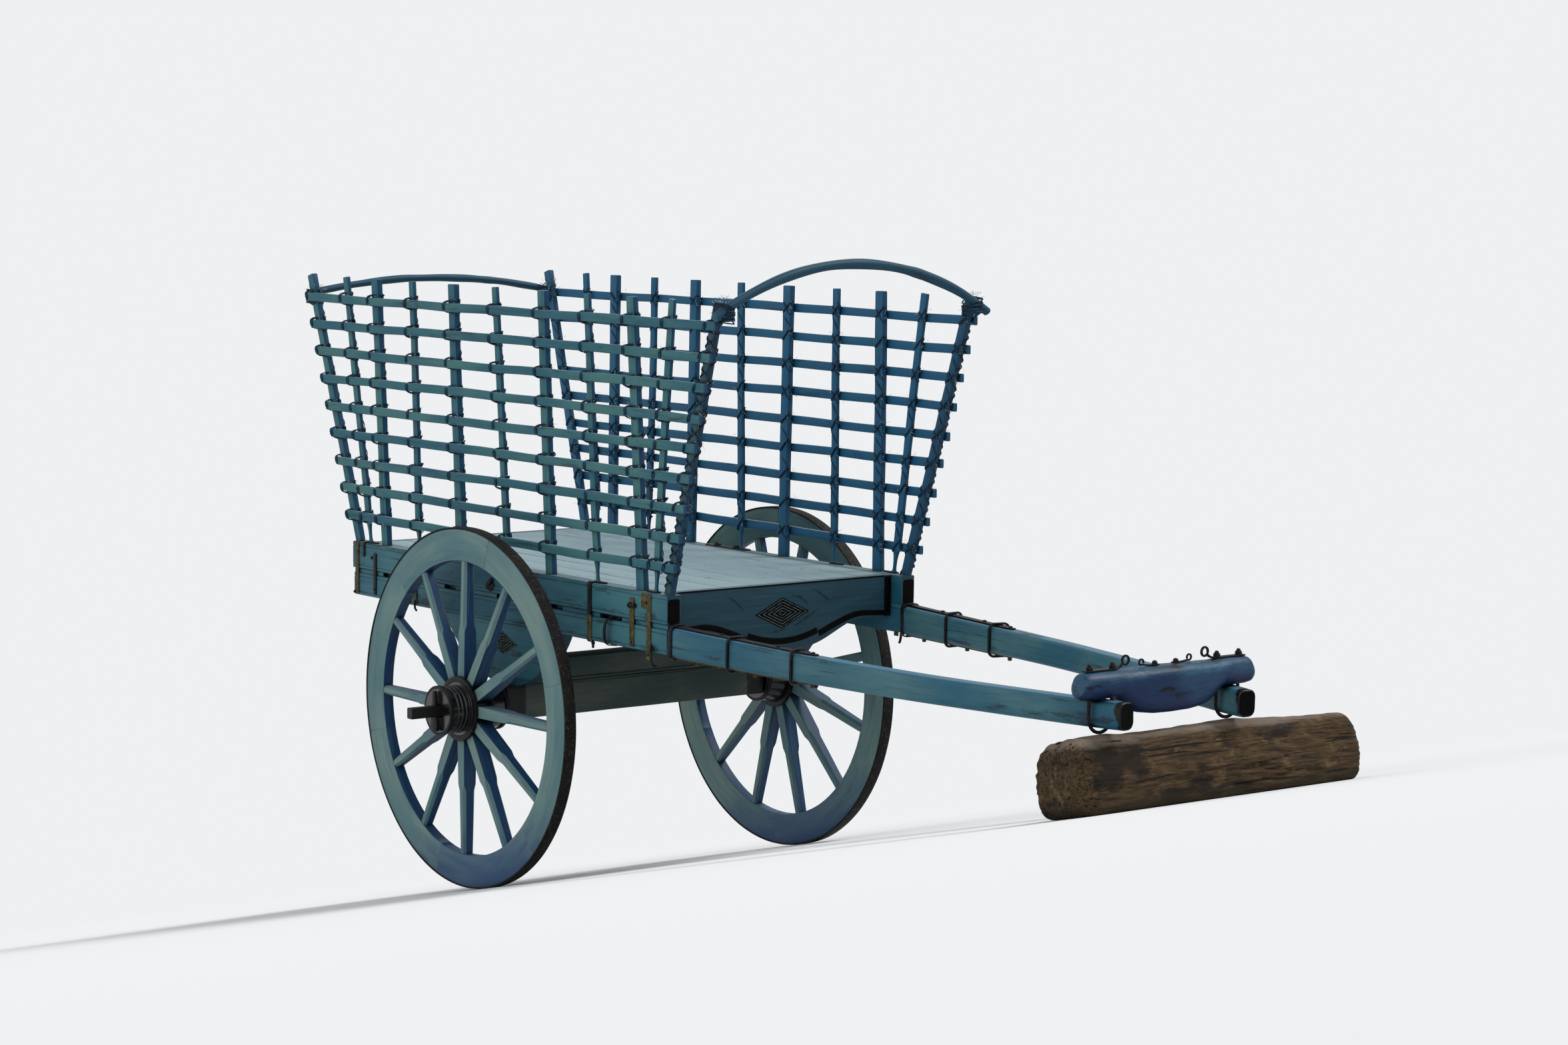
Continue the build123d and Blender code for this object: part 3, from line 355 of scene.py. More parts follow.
def hewn(path, section, across, ease=0.0, waver=0.0, seed=0, scale=9.0, closed=False):
    """A section carried along a path. Each ring is path + x * side + y * top, where side is the direction
    across made square to the path, and top is square to both. ease draws the two ends in like a worn arris,
    waver lets the surface stray by a smooth noise, and a closed path has no ends."""
    path, section = np.asarray(path, float), np.asarray(section, float)
    if section.ndim == 2 or len(section) == 1:
        section = np.broadcast_to(section.reshape(1, -1, 2), (len(path), section.shape[-2], 2))
    across = np.broadcast_to(np.asarray(across, float), path.shape)
    if ease:
        low, high = section[[0, -1]].min(1), section[[0, -1]].max(1)
        shrink = np.clip(1 - 2 * ease / (high - low), 0.3, 1)[:, None]
        ends = (low + high)[:, None] / 2 * (1 - shrink) + section[[0, -1]] * shrink
        step = path[[1, -2]] - path[[0, -1]]
        step = step / np.linalg.norm(step, axis=1)[:, None] * ease
        path = np.concatenate([path[:1], path[:1] + step[:1], path[1:-1], path[-1:] + step[1:], path[-1:]])
        section = np.concatenate([ends[:1], section, ends[1:]])
        across = np.concatenate([across[:1], across, across[-1:]])
    forward = np.roll(path, -1, 0) - np.roll(path, 1, 0) if closed else np.gradient(path, axis=0)
    forward /= np.linalg.norm(forward, axis=1)[:, None]
    aside = across - (across * forward).sum(1)[:, None] * forward
    aside /= np.linalg.norm(aside, axis=1)[:, None]
    top = np.cross(forward, aside)
    rings = path[:, None] + section[..., :1] * aside[:, None] + section[..., 1:] * top[:, None]
    along = np.concatenate([[0], np.cumsum(np.linalg.norm(np.diff(path, axis=0), axis=1))])
    offset = np.random.default_rng(seed + 1).uniform(0, 50, 3)
    lengthways = np.broadcast_to(along[:, None, None], section[..., :1].shape)
    grain = np.concatenate([lengthways, section], -1) + offset
    if waver:
        stray = np.stack([ripple(rings, scale, seed + k) for k in range(3)], -1)
        rings = rings + waver * stray
    return shell(rings, grain, closed)


def line(a, b, steps):
    """Points from a to b in equal steps."""
    a, b = np.asarray(a, float), np.asarray(b, float)
    return a + np.linspace(0, 1, steps)[:, None] * (b - a)


def lengthwise(x0, x1, y, z, steps, outline, ease, waver, seed, scale=9.0):
    """A straight timber along the cart: an outline carried from x0 to x1."""
    return hewn(line((x0, y, z), (x1, y, z), steps), outline, (0, 1, 0), ease, waver, seed, scale)


def crosswise(x, z, half, steps, outline, ease, waver, seed, scale=9.0):
    """A straight timber across the cart: an outline carried from y = -half to y = half."""
    return hewn(line((x, -half, z), (x, half, z), steps), outline, (1, 0, 0), ease, waver, seed, scale)


def painted(name, fresh, chalk, deep, wood, sheltered_and_shade, worn=0.5, smear=0.5, gloss=0.5, fade_and_highlight=1.0,
            deeper_below=0.0, tarred=None, inner=None):
    """Old oil paint on wood, in screen colours. The grain attribute runs along the timber in X. Large patches
    mix fresh paint and chalked paint, long brush marks darken it, and rubs along the grain and at the arrises
    show the wood. Faces that don't look to the cart's sides take a deeper colour, partly fresher paint kept
    in shelter and partly painted shade, and faces that look up are paler, partly faded by the sun and partly
    painted highlight. Faces that look in over the cart have the colour inner, and below a height given as an
    argument the paint is a deeper blue. Dark smears lie on top, creases and corners are darkened as painted
    shade, and everything further forward than tarred is black."""
    made, w, flow = grained(name)
    fresh, chalk, deep, wood, sheltered_and_shade = (tone(*own) for own in (fresh, chalk, deep, wood, sheltered_and_shade))
    broad = flow.noise(5, (0.35, 1, 1), 3).between(0.35, 0.68)
    strokes = flow.noise(60, (0.05, 1, 1), 4, 0.65)
    fine = flow.noise(260, (0.06, 1, 1), 3, 0.6)
    blotch = flow.noise(26, (0.25, 1, 1), 5, 0.6)
    colour = broad.mix(fresh, chalk)
    colour = (strokes.between(0.5, 0.75) * 0.5).mix(colour, deep)
    # Painted shade: faces that don't look to the cart's sides take a deeper colour, partly fresher paint kept
    # in shelter.
    sideways = w.facing(1)
    away = 1 - (sideways.maths("ABSOLUTE", sideways) + (blotch - 0.5) * 0.3).between(0.45, 0.85)
    colour = (away * (1 - strokes.between(0.45, 0.8) * 0.35)).mix(colour, sheltered_and_shade)
    # Painted highlight: faces that look up are paler, partly paint faded by the sun.
    upward_fade_and_highlight = w.facing(2).between(0.80, 0.95)
    colour = (upward_fade_and_highlight * (0.75 - strokes * 0.5) * fade_and_highlight).mix(colour, tone(150, 172, 178))
    if inner:
        looks_in = (w.place(1) * sideways * -1).between(0.25, 0.5)
        colour = (looks_in * (1 - strokes.between(0.45, 0.8) * 0.4)).mix(colour, tone(*inner))
    # Darker, bluer paint towards the bottom.
    if deeper_below:
        low = w.place(2) + (blotch - 0.5) * 0.25
        colour = ((1 - low.between(0.0, deeper_below)) * 0.9).mix(colour, tone(36, 62, 100))
    flake = blotch.between(0.74 - 0.06 * worn, 0.78 - 0.06 * worn)
    arris = w.node("Bevel", {"Radius": 0.006}, samples=4)
    bent = arris.node("VectorMath", {0: arris, 1: w.node("NewGeometry", out="Normal")}, out="Value",
                      operation="DOT_PRODUCT")
    edge = (1 - bent).between(0.02, 0.18) * blotch.between(0.47, 0.60)
    bare = flake.maths("MAXIMUM", flake, edge * worn)
    colour = bare.mix(colour, wood)
    dark = flow.noise(13, (0.22, 1, 1), 6, 0.7).between(0.57, 0.66) * smear
    colour = dark.mix(colour, tone(18, 24, 34))
    drags = flow.noise(34, (0.07, 1, 1), 5, 0.65).between(0.60, 0.68) * smear
    colour = drags.mix(colour, tone(20, 34, 50))
    if tarred:
        forward = w.place(0)
        colour = (forward + (blotch - 0.5) * 0.05).between(tarred, tarred + 0.012).mix(colour, tone(5, 5, 6))
    # Painted shade: creases and corners darkened by ambient occlusion.
    crevice_shade = w.node("AmbientOcclusion", {"Distance": 0.04}, out="AO", samples=4)
    colour = (1 - crevice_shade.between(0.2, 0.9)).mix(colour, tone(24, 34, 44), "MULTIPLY")
    height = strokes * 0.5 + fine * 0.35 - bare * 0.9
    shade(w, colour, gloss + bare * 0.3 + strokes * 0.12, height, 0.0011)
    return made


wheel_paint = painted("wheel_paint", (72, 104, 108), (98, 122, 118), (44, 78, 96),
                      (84, 80, 66), sheltered_and_shade=(20, 52, 84), smear=0.2, fade_and_highlight=0.5, deeper_below=0.34)
ROLLED = {1: radians(-15), -1: 0.0}
# Distances from the axle along a spoke, and the cut of its corners there
SPOKE_STATIONS = np.array([(0.1094, 0.0015), (0.21, 0.0015), (0.320, 0.0015), (0.348, 0.011), (0.43, 0.0104),
                           (0.52, 0.0097), (0.6122, 0.009)])
FELLOE_SECTION = rounded([(0.0248, 0.0648), (-0.0248, 0.0648), (-0.0248, -0.0648), (0.0248, -0.0648)],
                         np.array([0.001, 0.001, 0.0045, 0.0045]))
FELLOE_MIDDLE = 0.67785
FELLOE_GAP = radians(0.02)
FELLOE_TURN = 0.25


def on_wheel(angle, r, side):
    """Points in the middle plane of a wheel: x = r sin a, z = r cos a, from the axle."""
    return np.stack([np.sin(angle) * r, 0 * angle * r + side * WHEEL_Y, HUB_Z + np.cos(angle) * r], -1)


for side, word in SIDES:
    segments, spokes = [], []
    for i in range(6):
        start = (i + FELLOE_TURN) * pi / 3 + ROLLED[side]
        ends = start + FELLOE_GAP, start + pi / 3 - FELLOE_GAP
        angle = np.concatenate([ends[:1], np.linspace(ends[0] + 0.003, ends[1] - 0.003, 18), ends[1:]])
        segments.append(hewn(on_wheel(angle, FELLOE_MIDDLE, side), FELLOE_SECTION, (0, 1, 0), waver=0.0006,
                             seed=40 + i + 9 * side))
    build(f"felloe_set_{word}", segments, wheel_paint, f"felloes_{word}", body=f"wheel_{word}")
    for i in range(12):
        angle = i * pi / 6 + ROLLED[side]
        r, cut = SPOKE_STATIONS.T
        share = (r - r[0]) / (r[-1] - r[0])
        wide, deep_y = 0.049 - 0.011 * share, 0.068 - 0.022 * share
        across = (cos(angle), 0, -sin(angle))
        spokes.append(hewn(on_wheel(angle, r, side), corners(wide, deep_y, cut, 2), across, waver=0.0007,
                           seed=70 + i + 20 * side))
    build(f"spoke_set_{word}", spokes, wheel_paint, f"spokes_{word}", body=f"wheel_{word}", crease=25)

# Naves: turned hubs, black with old grease over paint, three grooves outside the spokes, and four forged
# hoops let in or driven on.
tar, w, flow = grained("greased_wood")
streaks = flow.noise(30, (1, 0.3, 1), 5)
worn_tar = flow.noise(14, detail=6, rough=0.65).between(0.58, 0.68)
colour = streaks.between(0.4, 0.7).mix(tone(3, 3, 4), tone(11, 14, 18))
colour = (worn_tar * 0.7).mix(colour, tone(74, 64, 36))
shade(w, colour, 0.08 + streaks * 0.25, streaks + worn_tar * 0.4, 0.0012, coat=0.35)

iron, w, flow = grained("black_iron")
hammer = flow.noise(70, detail=3)
red = flow.noise(24, detail=6, rough=0.7).between(0.58, 0.68)
colour = hammer.between(0.35, 0.7).mix(tone(12, 12, 14), tone(28, 28, 30))
colour = (red * 0.5).mix(colour, tone(64, 44, 32))
shade(w, colour, 0.45 + red * 0.35, hammer, metal=0.45)

# (radius, distance out from the wheel's middle) round a nave, and for each hoop its outer and inner radius
# and the two distances between which it lies
NAVE_OUTLINE = [(0.0303, 0.145), (0.093, 0.145), (0.093, 0.1267), (0.098, 0.1267)]
for middle in (0.1075, 0.0884, 0.0693):
    NAVE_OUTLINE += [(0.098, middle + 0.004), (0.0925, middle), (0.098, middle - 0.004)]
NAVE_OUTLINE += [(0.0985, 0.0493), (0.112, 0.0493), (0.112, -0.0493), (0.096, -0.1267), (0.091, -0.1267),
                 (0.091, -0.145), (0.0303, -0.145)]
HOOPS = [(0.1035, 0.0933, 0.127, 0.145), (0.135, 0.1123, 0.0362, 0.0489), (0.135, 0.1123, -0.0489, -0.0362),
         (0.1015, 0.0913, -0.145, -0.127)]
for side, word in SIDES:
    hub = turned(rounded(NAVE_OUTLINE, 0.0016, 2), 96, side, 0.0006, 11 + side)
    build(f"hub_{word}", [hub], tar, f"nave_{word}", body=f"wheel_{word}")
    hoops = [turned(rounded([(r1, y0), (r1, y1), (r0, y1), (r0, y0)], 0.0025), 96, side, 0.0004, 15 + k)
             for k, (r1, r0, y0, y1) in enumerate(HOOPS)]
    build(f"hub_hoops_{word}", hoops, iron, f"nave_hoops_{word}", body=f"wheel_{word}")

# Body timbers: two rails a side with a thin strip between them, sawn and then planed, blue like the boards.
body_paint = painted("body_paint", (24, 74, 92), (52, 98, 106), (13, 47, 68), (74, 74, 64),
                     sheltered_and_shade=(18, 50, 62), smear=0.75, fade_and_highlight=0.6)
RAIL_Y = 0.600
RAIL_HALF = 0.035
RAIL_BEAD = 0.0022
BEAD_HALF = 0.003
ARRIS = 0.004
STRIP_Z = 1.1957
STRIP_OUTLINE = corners(0.065, 0.018, 0.0015, 2)
# Ends along the cart and lower and upper height of the two rails, and the ends of the strips between them
RAILS = {"side_rail": (-1.212, 1.130, 1.205, 1.322), "lower_rail": (-1.200, 1.130, 1.0874, 1.1864)}
STRIPS = [(-1.200, -0.967), (-0.907, -0.474), (-0.390, -0.076), (0.008, 0.326), (0.410, 0.671),
          (0.821, 1.130)]
for side, word in SIDES:
    for kind, (x0, x1, z0, z1) in RAILS.items():
        middle, half = (z0 + z1) / 2, (z1 - z0) / 2
        outline = [(-RAIL_HALF, -half), (RAIL_HALF - ARRIS, -half), (RAIL_HALF, -half + ARRIS)]
        for groove in (-half + 0.014, half - 0.017):
            outline += [(RAIL_HALF, groove - BEAD_HALF), (RAIL_HALF - RAIL_BEAD, groove),
                        (RAIL_HALF, groove + BEAD_HALF)]
        outline += [(RAIL_HALF, half - ARRIS), (RAIL_HALF - ARRIS, half), (-RAIL_HALF, half)]
        outline = np.array(outline) * (side, 1)
        timber = lengthwise(x0, x1, side * RAIL_Y, middle, 30, outline[None], 0.002, 0.0007, 100 + side, 5)
        build(f"{kind}_timber_{word}", [timber], body_paint, f"{kind}_{word}", crease=20)
    strips = [lengthwise(a, b, side * 0.5975, STRIP_Z, 12, STRIP_OUTLINE, 0.001, 0.0004, 120 + k)
              for k, (a, b) in enumerate(STRIPS)]
    build(f"rail_strips_{word}", strips, body_paint, f"rail_strip_{word}")

# Cheeks: one deep board under each pair of rails, bellied below, that sits on the axle and carries the body.
# A small diamond of nested squares is cut in its outer face and painted black.
def through(a, b, c, steps):
    """Points on the circle through three flat points: its centre is where the perpendicular bisectors meet,
    and the angle runs evenly from a through b to c."""
    a, b, c = (np.asarray(p, float) for p in (a, b, c))
    d = 2 * (a[0] * (b[1] - c[1]) + b[0] * (c[1] - a[1]) + c[0] * (a[1] - b[1]))
    sq = [(p ** 2).sum() for p in (a, b, c)]
    centre = np.array([sq[0] * (b[1] - c[1]) + sq[1] * (c[1] - a[1]) + sq[2] * (a[1] - b[1]),
                       sq[0] * (c[0] - b[0]) + sq[1] * (a[0] - c[0]) + sq[2] * (b[0] - a[0])]) / d
    angles = np.unwrap([atan2(*(p - centre)[::-1]) for p in (a, b, c)])
    angle = np.linspace(angles[0], angles[2], steps)
    return centre + hypot(*(a - centre)) * np.stack([np.cos(angle), np.sin(angle)], -1)


def board(start, end, across, low, high, thick, cut, steps, waver, seed):
    """A board with a straight top: low gives the height of its lower edge at a distance from the middle. The
    section is a rectangle from low to high, so the path stays straight."""
    path = line(start, end, steps)
    at = np.linalg.norm(path - path[0], axis=1) - np.linalg.norm(path[-1] - path[0]) / 2
    z0 = low(at)
    section = corners(thick, high - z0, cut, 3) + np.stack([0 * at, (z0 + high) / 2], -1)[:, None]
    return hewn(path, section, across, 0.0015, waver, seed, 5)


LINE_PROUD = 0.0012


def ridge(a, b, face_way, wide, tall, seed):
    """A low bar with a roof-shaped section from a to b, lying on a face whose outward way is given."""
    half, eave = wide / 2, tall * 0.4
    section = np.array([(-half, 0), (half, 0), (half, eave), (0, tall), (-half, eave)])
    path = line(a, b, 3)
    along = np.asarray(b, float) - np.asarray(a, float)
    across = np.cross(np.asarray(face_way, float), along)
    return hewn(path, section[None] * (-1, 1), across, seed=seed)


def nested_diamonds(centre, half_wide, half_tall, wide_way, face_way, counts, band):
    """Diamonds inside one another on a face: each is four ridges between its corners, and each is smaller
    than the last by the same share."""
    shells, centre = [], np.asarray(centre, float)
    wide_way = np.asarray(wide_way, float)
    for k in range(counts):
        share = 1 - k / (counts - 0.2)
        tips = [centre + wide_way * half_wide * share, centre + (0, 0, half_tall * share),
                centre - wide_way * half_wide * share, centre - (0, 0, half_tall * share)]
        shells += [ridge(tips[i], tips[(i + 1) % 4], face_way, band, LINE_PROUD, 900 + 4 * k + i)
                   for i in range(4)]
    return shells


carving_paint, w, flow = grained("carving_black")
rub = flow.noise(50, detail=5).between(0.5, 0.66)
colour = (rub * 0.4).mix(tone(3, 3, 4), tone(16, 18, 19))
shade(w, colour, 0.6 + rub * 0.3, rub, 0.0008, sheen_back=0.04)
# The carved ridges are a lighter grey: worn black paint and a painted highlight of their edges.
ridge_paint_and_highlight, w, flow = grained("carving_lines")
rub = flow.noise(70, detail=5).between(0.45, 0.62)
shade(w, rub.mix(tone(66, 78, 78), tone(28, 36, 38)), 0.7)
smudge_paint, w, flow = grained("old_smudge")
shade(w, flow.noise(22, detail=5).between(0.4, 0.62).mix(tone(6, 22, 30), tone(16, 50, 62)), 0.6)

CHEEK_REAR, CHEEK_FRONT = -0.470, 0.400
CHEEK_TOP, CHEEK_SEAT = 1.0871, 0.8353
cheek_front = through((0.085, CHEEK_SEAT), (0.280, 0.936), (CHEEK_FRONT, CHEEK_TOP - 0.003), 24)
cheek_rear = through((CHEEK_REAR, CHEEK_TOP - 0.003), (-0.329, 0.936), (-0.085, CHEEK_SEAT), 24)
cheek_curve = np.concatenate([cheek_rear, cheek_front])


def cheek_low(at):
    """Lower edge of a cheek at a distance from its middle: two arcs up from its seat on the axle."""
    return np.interp(at + (CHEEK_REAR + CHEEK_FRONT) / 2, cheek_curve[:, 0], cheek_curve[:, 1])


for side, word in SIDES:
    plank = board((CHEEK_REAR, side * RAIL_Y, 0), (CHEEK_FRONT, side * RAIL_Y, 0), (0, 1, 0), cheek_low,
                  CHEEK_TOP, 0.062, 0.0012, 60, 0.0004, 140 + side)
    build(f"cheek_board_{word}", [plank], body_paint, f"cheek_{word}")
    spot = np.array([-0.030, side * 0.6312, 1.005])
    tips = np.array([(-0.108, 0), (0, 0.049), (0.108, 0), (0, -0.049)])
    mark = hewn([spot, spot + (0, side * 0.0007, 0)], tips[None], (1, 0, 0), seed=145)
    build(f"cheek_diamond_{word}", [mark], carving_paint, crease=60)
    lines = nested_diamonds(spot + (0, side * 0.0006, 0), 0.098, 0.0445, (1, 0, 0), (0, side, 0), 4, 0.0050)
    build(f"cheek_diamond_lines_{word}", lines, ridge_paint_and_highlight, crease=60)

# Axle: a squared beam with a board on top of it between the cheeks, both with a planed bead, grey-blue, and
# black with grease towards the wheels. The arms are turned, and a flat pin keeps each wheel on.
axle_paint, w, flow = grained("axle_paint")
across_cart = w.maths("ABSOLUTE", w.place(1))
strokes = flow.noise(60, (0.05, 1, 1), 4, 0.65)
scuff = flow.noise(16, (0.5, 1, 1), 7, 0.72)
ends_black = (across_cart + (scuff - 0.5) * 0.05).between(0.575, 0.590)
colour = flow.noise(6, (0.4, 1, 1), 3).between(0.35, 0.7).mix(tone(44, 58, 58), tone(68, 76, 68))
colour = (strokes.between(0.5, 0.8) * 0.55).mix(colour, tone(22, 32, 38))
colour = (scuff.between(0.665, 0.70) * 0.7).mix(colour, tone(124, 124, 100))
colour = ends_black.mix(colour, tone(14, 14, 15))
shade(w, colour, 0.62 - ends_black * 0.2, strokes)

BEAM_HALF = 0.675
beam = crosswise(0, 0.7635, BEAM_HALF, 40, corners(0.144, 0.143, 0.008, 3), 0.003, 0.0010, 160, 5)
beads = [crosswise(x, 0.822, BEAM_HALF, 30, corners(0.010, 0.010, 0.0045, 4), 0.001, 0.0003, 161)
         for x in (0.0685, -0.0685)]
ARM_OUTLINE = [(0.030, -0.152), (0.030, 0.147), (0.004, 0.147), (0.004, -0.152)]
PIN_Y = 0.983
# (height, width) up a linchpin, widest in its head
PIN_SHAPE = np.array([(0.6675, 0.038), (0.674, 0.043), (0.690, 0.044), (0.716, 0.0435), (0.7255, 0.043),
                      (0.7272, 0.038), (0.7285, 0.0235), (0.760, 0.0235), (0.795, 0.023), (0.815, 0.021),
                      (0.8325, 0.013)])
arms = []
for side, _ in SIDES:
    arms.append(turned(ARM_OUTLINE, 48, side, 0, 163))
    arms.append(hewn(line((0, side * 0.970, HUB_Z), (0, side * 1.107, HUB_Z), 8),
                     corners(0.038, 0.045, 0.003, 3), (1, 0, 0), 0.002, 0.0006, 165))
build("axle_beam", [beam, *beads, *arms], axle_paint, "axle_tree")
for side, word in SIDES:
    z, wide = PIN_SHAPE.T
    pin = hewn(np.stack([0 * z, 0 * z + side * PIN_Y, z], -1), corners(wide, 0.0155, 0.0028, 3), (1, 0, 0),
               0.0015, 0.0008, 167 + side)
    build(f"linchpin_flat_{word}", [pin], iron, f"linchpin_{word}")
BETWEEN_CHEEKS = 0.5687
upper = crosswise(0, 0.8843, BETWEEN_CHEEKS, 36, corners(0.132, 0.098, 0.004, 3), 0.002, 0.0010, 170, 5)
beads = [crosswise(x, 0.8425, BETWEEN_CHEEKS, 30, corners(0.014, 0.013, 0.006, 4), 0.001, 0.0003, 171)
         for x in (0.0645, -0.0645)]
build("axle_board", [upper, *beads], axle_paint, "axle_bolster")

# End boards: a shaped board across each end of the deck, cut to a deep belly between two shallow arches, with
# black lines along the lower edge and down both ends, a diamond of carved nested lines on a black ground, and
# old brush marks round it.
DECK_Z = 1.322
DECK_HALF = 0.5647
BOARD_THICK = 0.038
DIAMOND_AT = (-0.006, 1.203)
SMUDGES = [through((0.038, 1.274), (0.090, 1.260), (0.125, 1.230), 9),
           through((0.145, 1.294), (0.205, 1.262), (0.243, 1.231), 10),
           through((0.198, 1.217), (0.120, 1.176), (0.057, 1.145), 12),
           through((-0.086, 1.127), (-0.035, 1.130), (0.016, 1.136), 8),
           through((-0.300, 1.290), (-0.240, 1.262), (-0.205, 1.222), 9)]


def board_low(at):
    """Lower edge of an end board: a straight rise from the end to 0.44 m out, then half a cosine wave down to
    the flat belly at 0.10 m."""
    out = np.abs(at)
    arch = 1.158 - 0.007 * np.clip((out - 0.44) / 0.125, 0, 1)
    return arch - 0.102 * (1 + np.cos(pi * np.clip((out - 0.10) / 0.34, 0, 1))) / 2


def stripe(x, face_way, points, wide, seed, proud=0.0006):
    """A painted line on the face of a board: a thin strip along (y, z) points, with one width or one for each
    point."""
    points = np.asarray(points, float)
    path = np.column_stack([np.full(len(points), x), points])
    wide = np.broadcast_to(np.asarray(wide, float), len(points))
    return hewn(path, corners(proud * 2, wide, 0.0003, 2), (face_way, 0, 0), 0.0, 0.0002, seed, 30)


for x, word, seed in ((1.043, "front", 180), (-1.125, "rear", 181)):
    face_way = 1 if x > 0 else -1
    plank = board((x, -DECK_HALF, 0), (x, DECK_HALF, 0), (-1, 0, 0), board_low, DECK_Z, BOARD_THICK,
                  0.002, 96, 0.0006, seed)
    build(f"{word}_board_carved", [plank], body_paint, f"{word}_board")
    face = x + face_way * BOARD_THICK / 2
    y = np.linspace(-0.182, 0.176, 26)
    lines = [stripe(face, face_way, np.stack([y, 1.0885 + 0.033 * (y / 0.18) ** 2], -1), 0.0255, seed + 4)]
    for way in (1, -1):
        y = np.linspace(0.184, 0.531, 28)
        over = 0.014 + 0.021 * np.clip((0.44 - y) / 0.2, 0, 1)
        lines.append(stripe(face, face_way, np.stack([way * y, board_low(y) + over], -1),
                            0.0255 - 0.004 * np.clip((y - 0.3) / 0.2, 0, 1), seed + 5))
        lines.append(stripe(face, face_way, [(way * 0.5470, board_low(0.547) + 0.001), (way * 0.5465, 1.24),
                                             (way * 0.5470, 1.317)], [0.034, 0.035, 0.034], seed + 6))
    lines.append(stripe(face, face_way, [(-0.529, 1.3190), (0.0, 1.3185), (0.529, 1.3190)], 0.006, seed + 7))
    smudges = [stripe(face, face_way, smudge, 0.0100 * np.sin(np.linspace(0.25, pi - 0.3, len(smudge))),
                      seed + 8, 0.0004) for smudge in SMUDGES]
    build(f"{word}_board_smudges", smudges, smudge_paint, crease=60)
    tips = np.array([(-0.1385, 0), (0, 0.0635), (0.1385, 0), (0, -0.0635)])
    ground = hewn([(face - face_way * 0.001, *DIAMOND_AT), (face + face_way * 0.0008, *DIAMOND_AT)],
                  tips[None] * (face_way, 1), (0, 1, 0), seed=seed + 12)
    build(f"{word}_board_black", lines + [ground], carving_paint, crease=60)
    lines = nested_diamonds((face + face_way * 0.0007, *DIAMOND_AT), 0.124, 0.0568, (0, 1, 0),
                            (face_way, 0, 0), 5, 0.0034)
    build(f"{word}_board_lines", lines, ridge_paint_and_highlight, crease=60)

# Deck: eight planks along the cart on cross bearers whose tongues lie in slots of the rails. The sun has
# faded the paint nearly white-blue, and the faces that look up are paler still as painted highlight.
deck_paint = painted("deck_paint", (122, 150, 160), (156, 174, 176), (84, 116, 136),
                     (120, 112, 96), sheltered_and_shade=(128, 152, 160), worn=0.9, smear=0.3, gloss=0.55)
PLANK_GAP = 0.002
pitch = 2 * DECK_HALF / 8
plank_middles = [-DECK_HALF + i * pitch + (pitch - PLANK_GAP) / 2 for i in range(8)]
plank_outline = corners(pitch - PLANK_GAP, 0.0236, 0.002, 3)
planks = [lengthwise(-1.1057, 1.0237, y, 1.310, 40, plank_outline, 0.001, 0.0007, 200 + 7 * i, 4)
          for i, y in enumerate(plank_middles)]
build("deck_boards", planks, deck_paint, "deck_planks")
# Place along the cart and width of each slot that takes a bearer's tongue
SLOTS = [(-0.937, 0.060), (-0.432, 0.084), (-0.034, 0.084), (0.368, 0.084), (0.746, 0.150)]
bearers = []
for k, (x, width) in enumerate(SLOTS):
    wide = min(0.076, width - 0.0006)
    baulk, tongue = corners(wide, 0.111, 0.003, 3), corners(wide, 0.0178, 0.001, 2)
    bearers.append(crosswise(x, 1.2422, DECK_HALF, 20, baulk, 0.001, 0.0008, 220 + k))
    bearers.append(crosswise(x, STRIP_Z, 0.611, 12, tongue, 0.001, 0.0, 230 + k))
build("bearers", bearers, body_paint, "cross_bearers")

# Shafts: one tapered pole to each rail, square with round corners, that draw together towards the yoke. Iron
# plates lie along the root above and below, under bent iron bands. The tips are black.
SHAFT_ROOT = np.array([1.1303, 0.600, 1.140])
SHAFT_TIP = np.array([3.382, 0.297, 1.108])
SHAFT_WAY = (SHAFT_TIP - SHAFT_ROOT) / np.linalg.norm(SHAFT_TIP - SHAFT_ROOT)
SHAFT_LONG = np.linalg.norm(SHAFT_TIP - SHAFT_ROOT)
SHAFT_SIDE = np.array([SHAFT_WAY[1], -SHAFT_WAY[0], 0]) / hypot(SHAFT_WAY[0], SHAFT_WAY[1])
SHAFT_UP = np.cross(SHAFT_SIDE, SHAFT_WAY)
SHAFT_BEND = {1: 0.010, -1: -0.019}
YOKE_BEHIND = 0.947


def shaft_size(along):
    """Width and height of a shaft, even from the root to the tip."""
    share = np.asarray(along) / SHAFT_LONG
    return 0.076 + 0.002 * share, 0.117 - 0.017 * share - 0.006 * np.sin(pi * share)


def on_shaft(along, aside, above, side):
    """Points by their distance along a shaft, to its inner side and above its middle: root plus each distance
    times its own direction, with Y turned over for the right side. Half a sine wave from the root to the yoke
    is the pole's own bend, up on the left and down on the right."""
    along, aside, above = np.broadcast_arrays(*[np.asarray(v, float) for v in (along, aside, above)])
    above = above + SHAFT_BEND[side] * np.sin(pi * along / (YOKE_BEHIND * SHAFT_LONG))
    points = (SHAFT_ROOT + along[..., None] * SHAFT_WAY + aside[..., None] * SHAFT_SIDE
              + above[..., None] * SHAFT_UP)
    return points * (1, side, 1)


def circle(steps):
    """Points of a circle of radius 1: the cosine and sine of equal steps of angle."""
    angle = np.arange(steps) * 2 * pi / steps
    return np.stack([np.cos(angle), np.sin(angle)], -1)


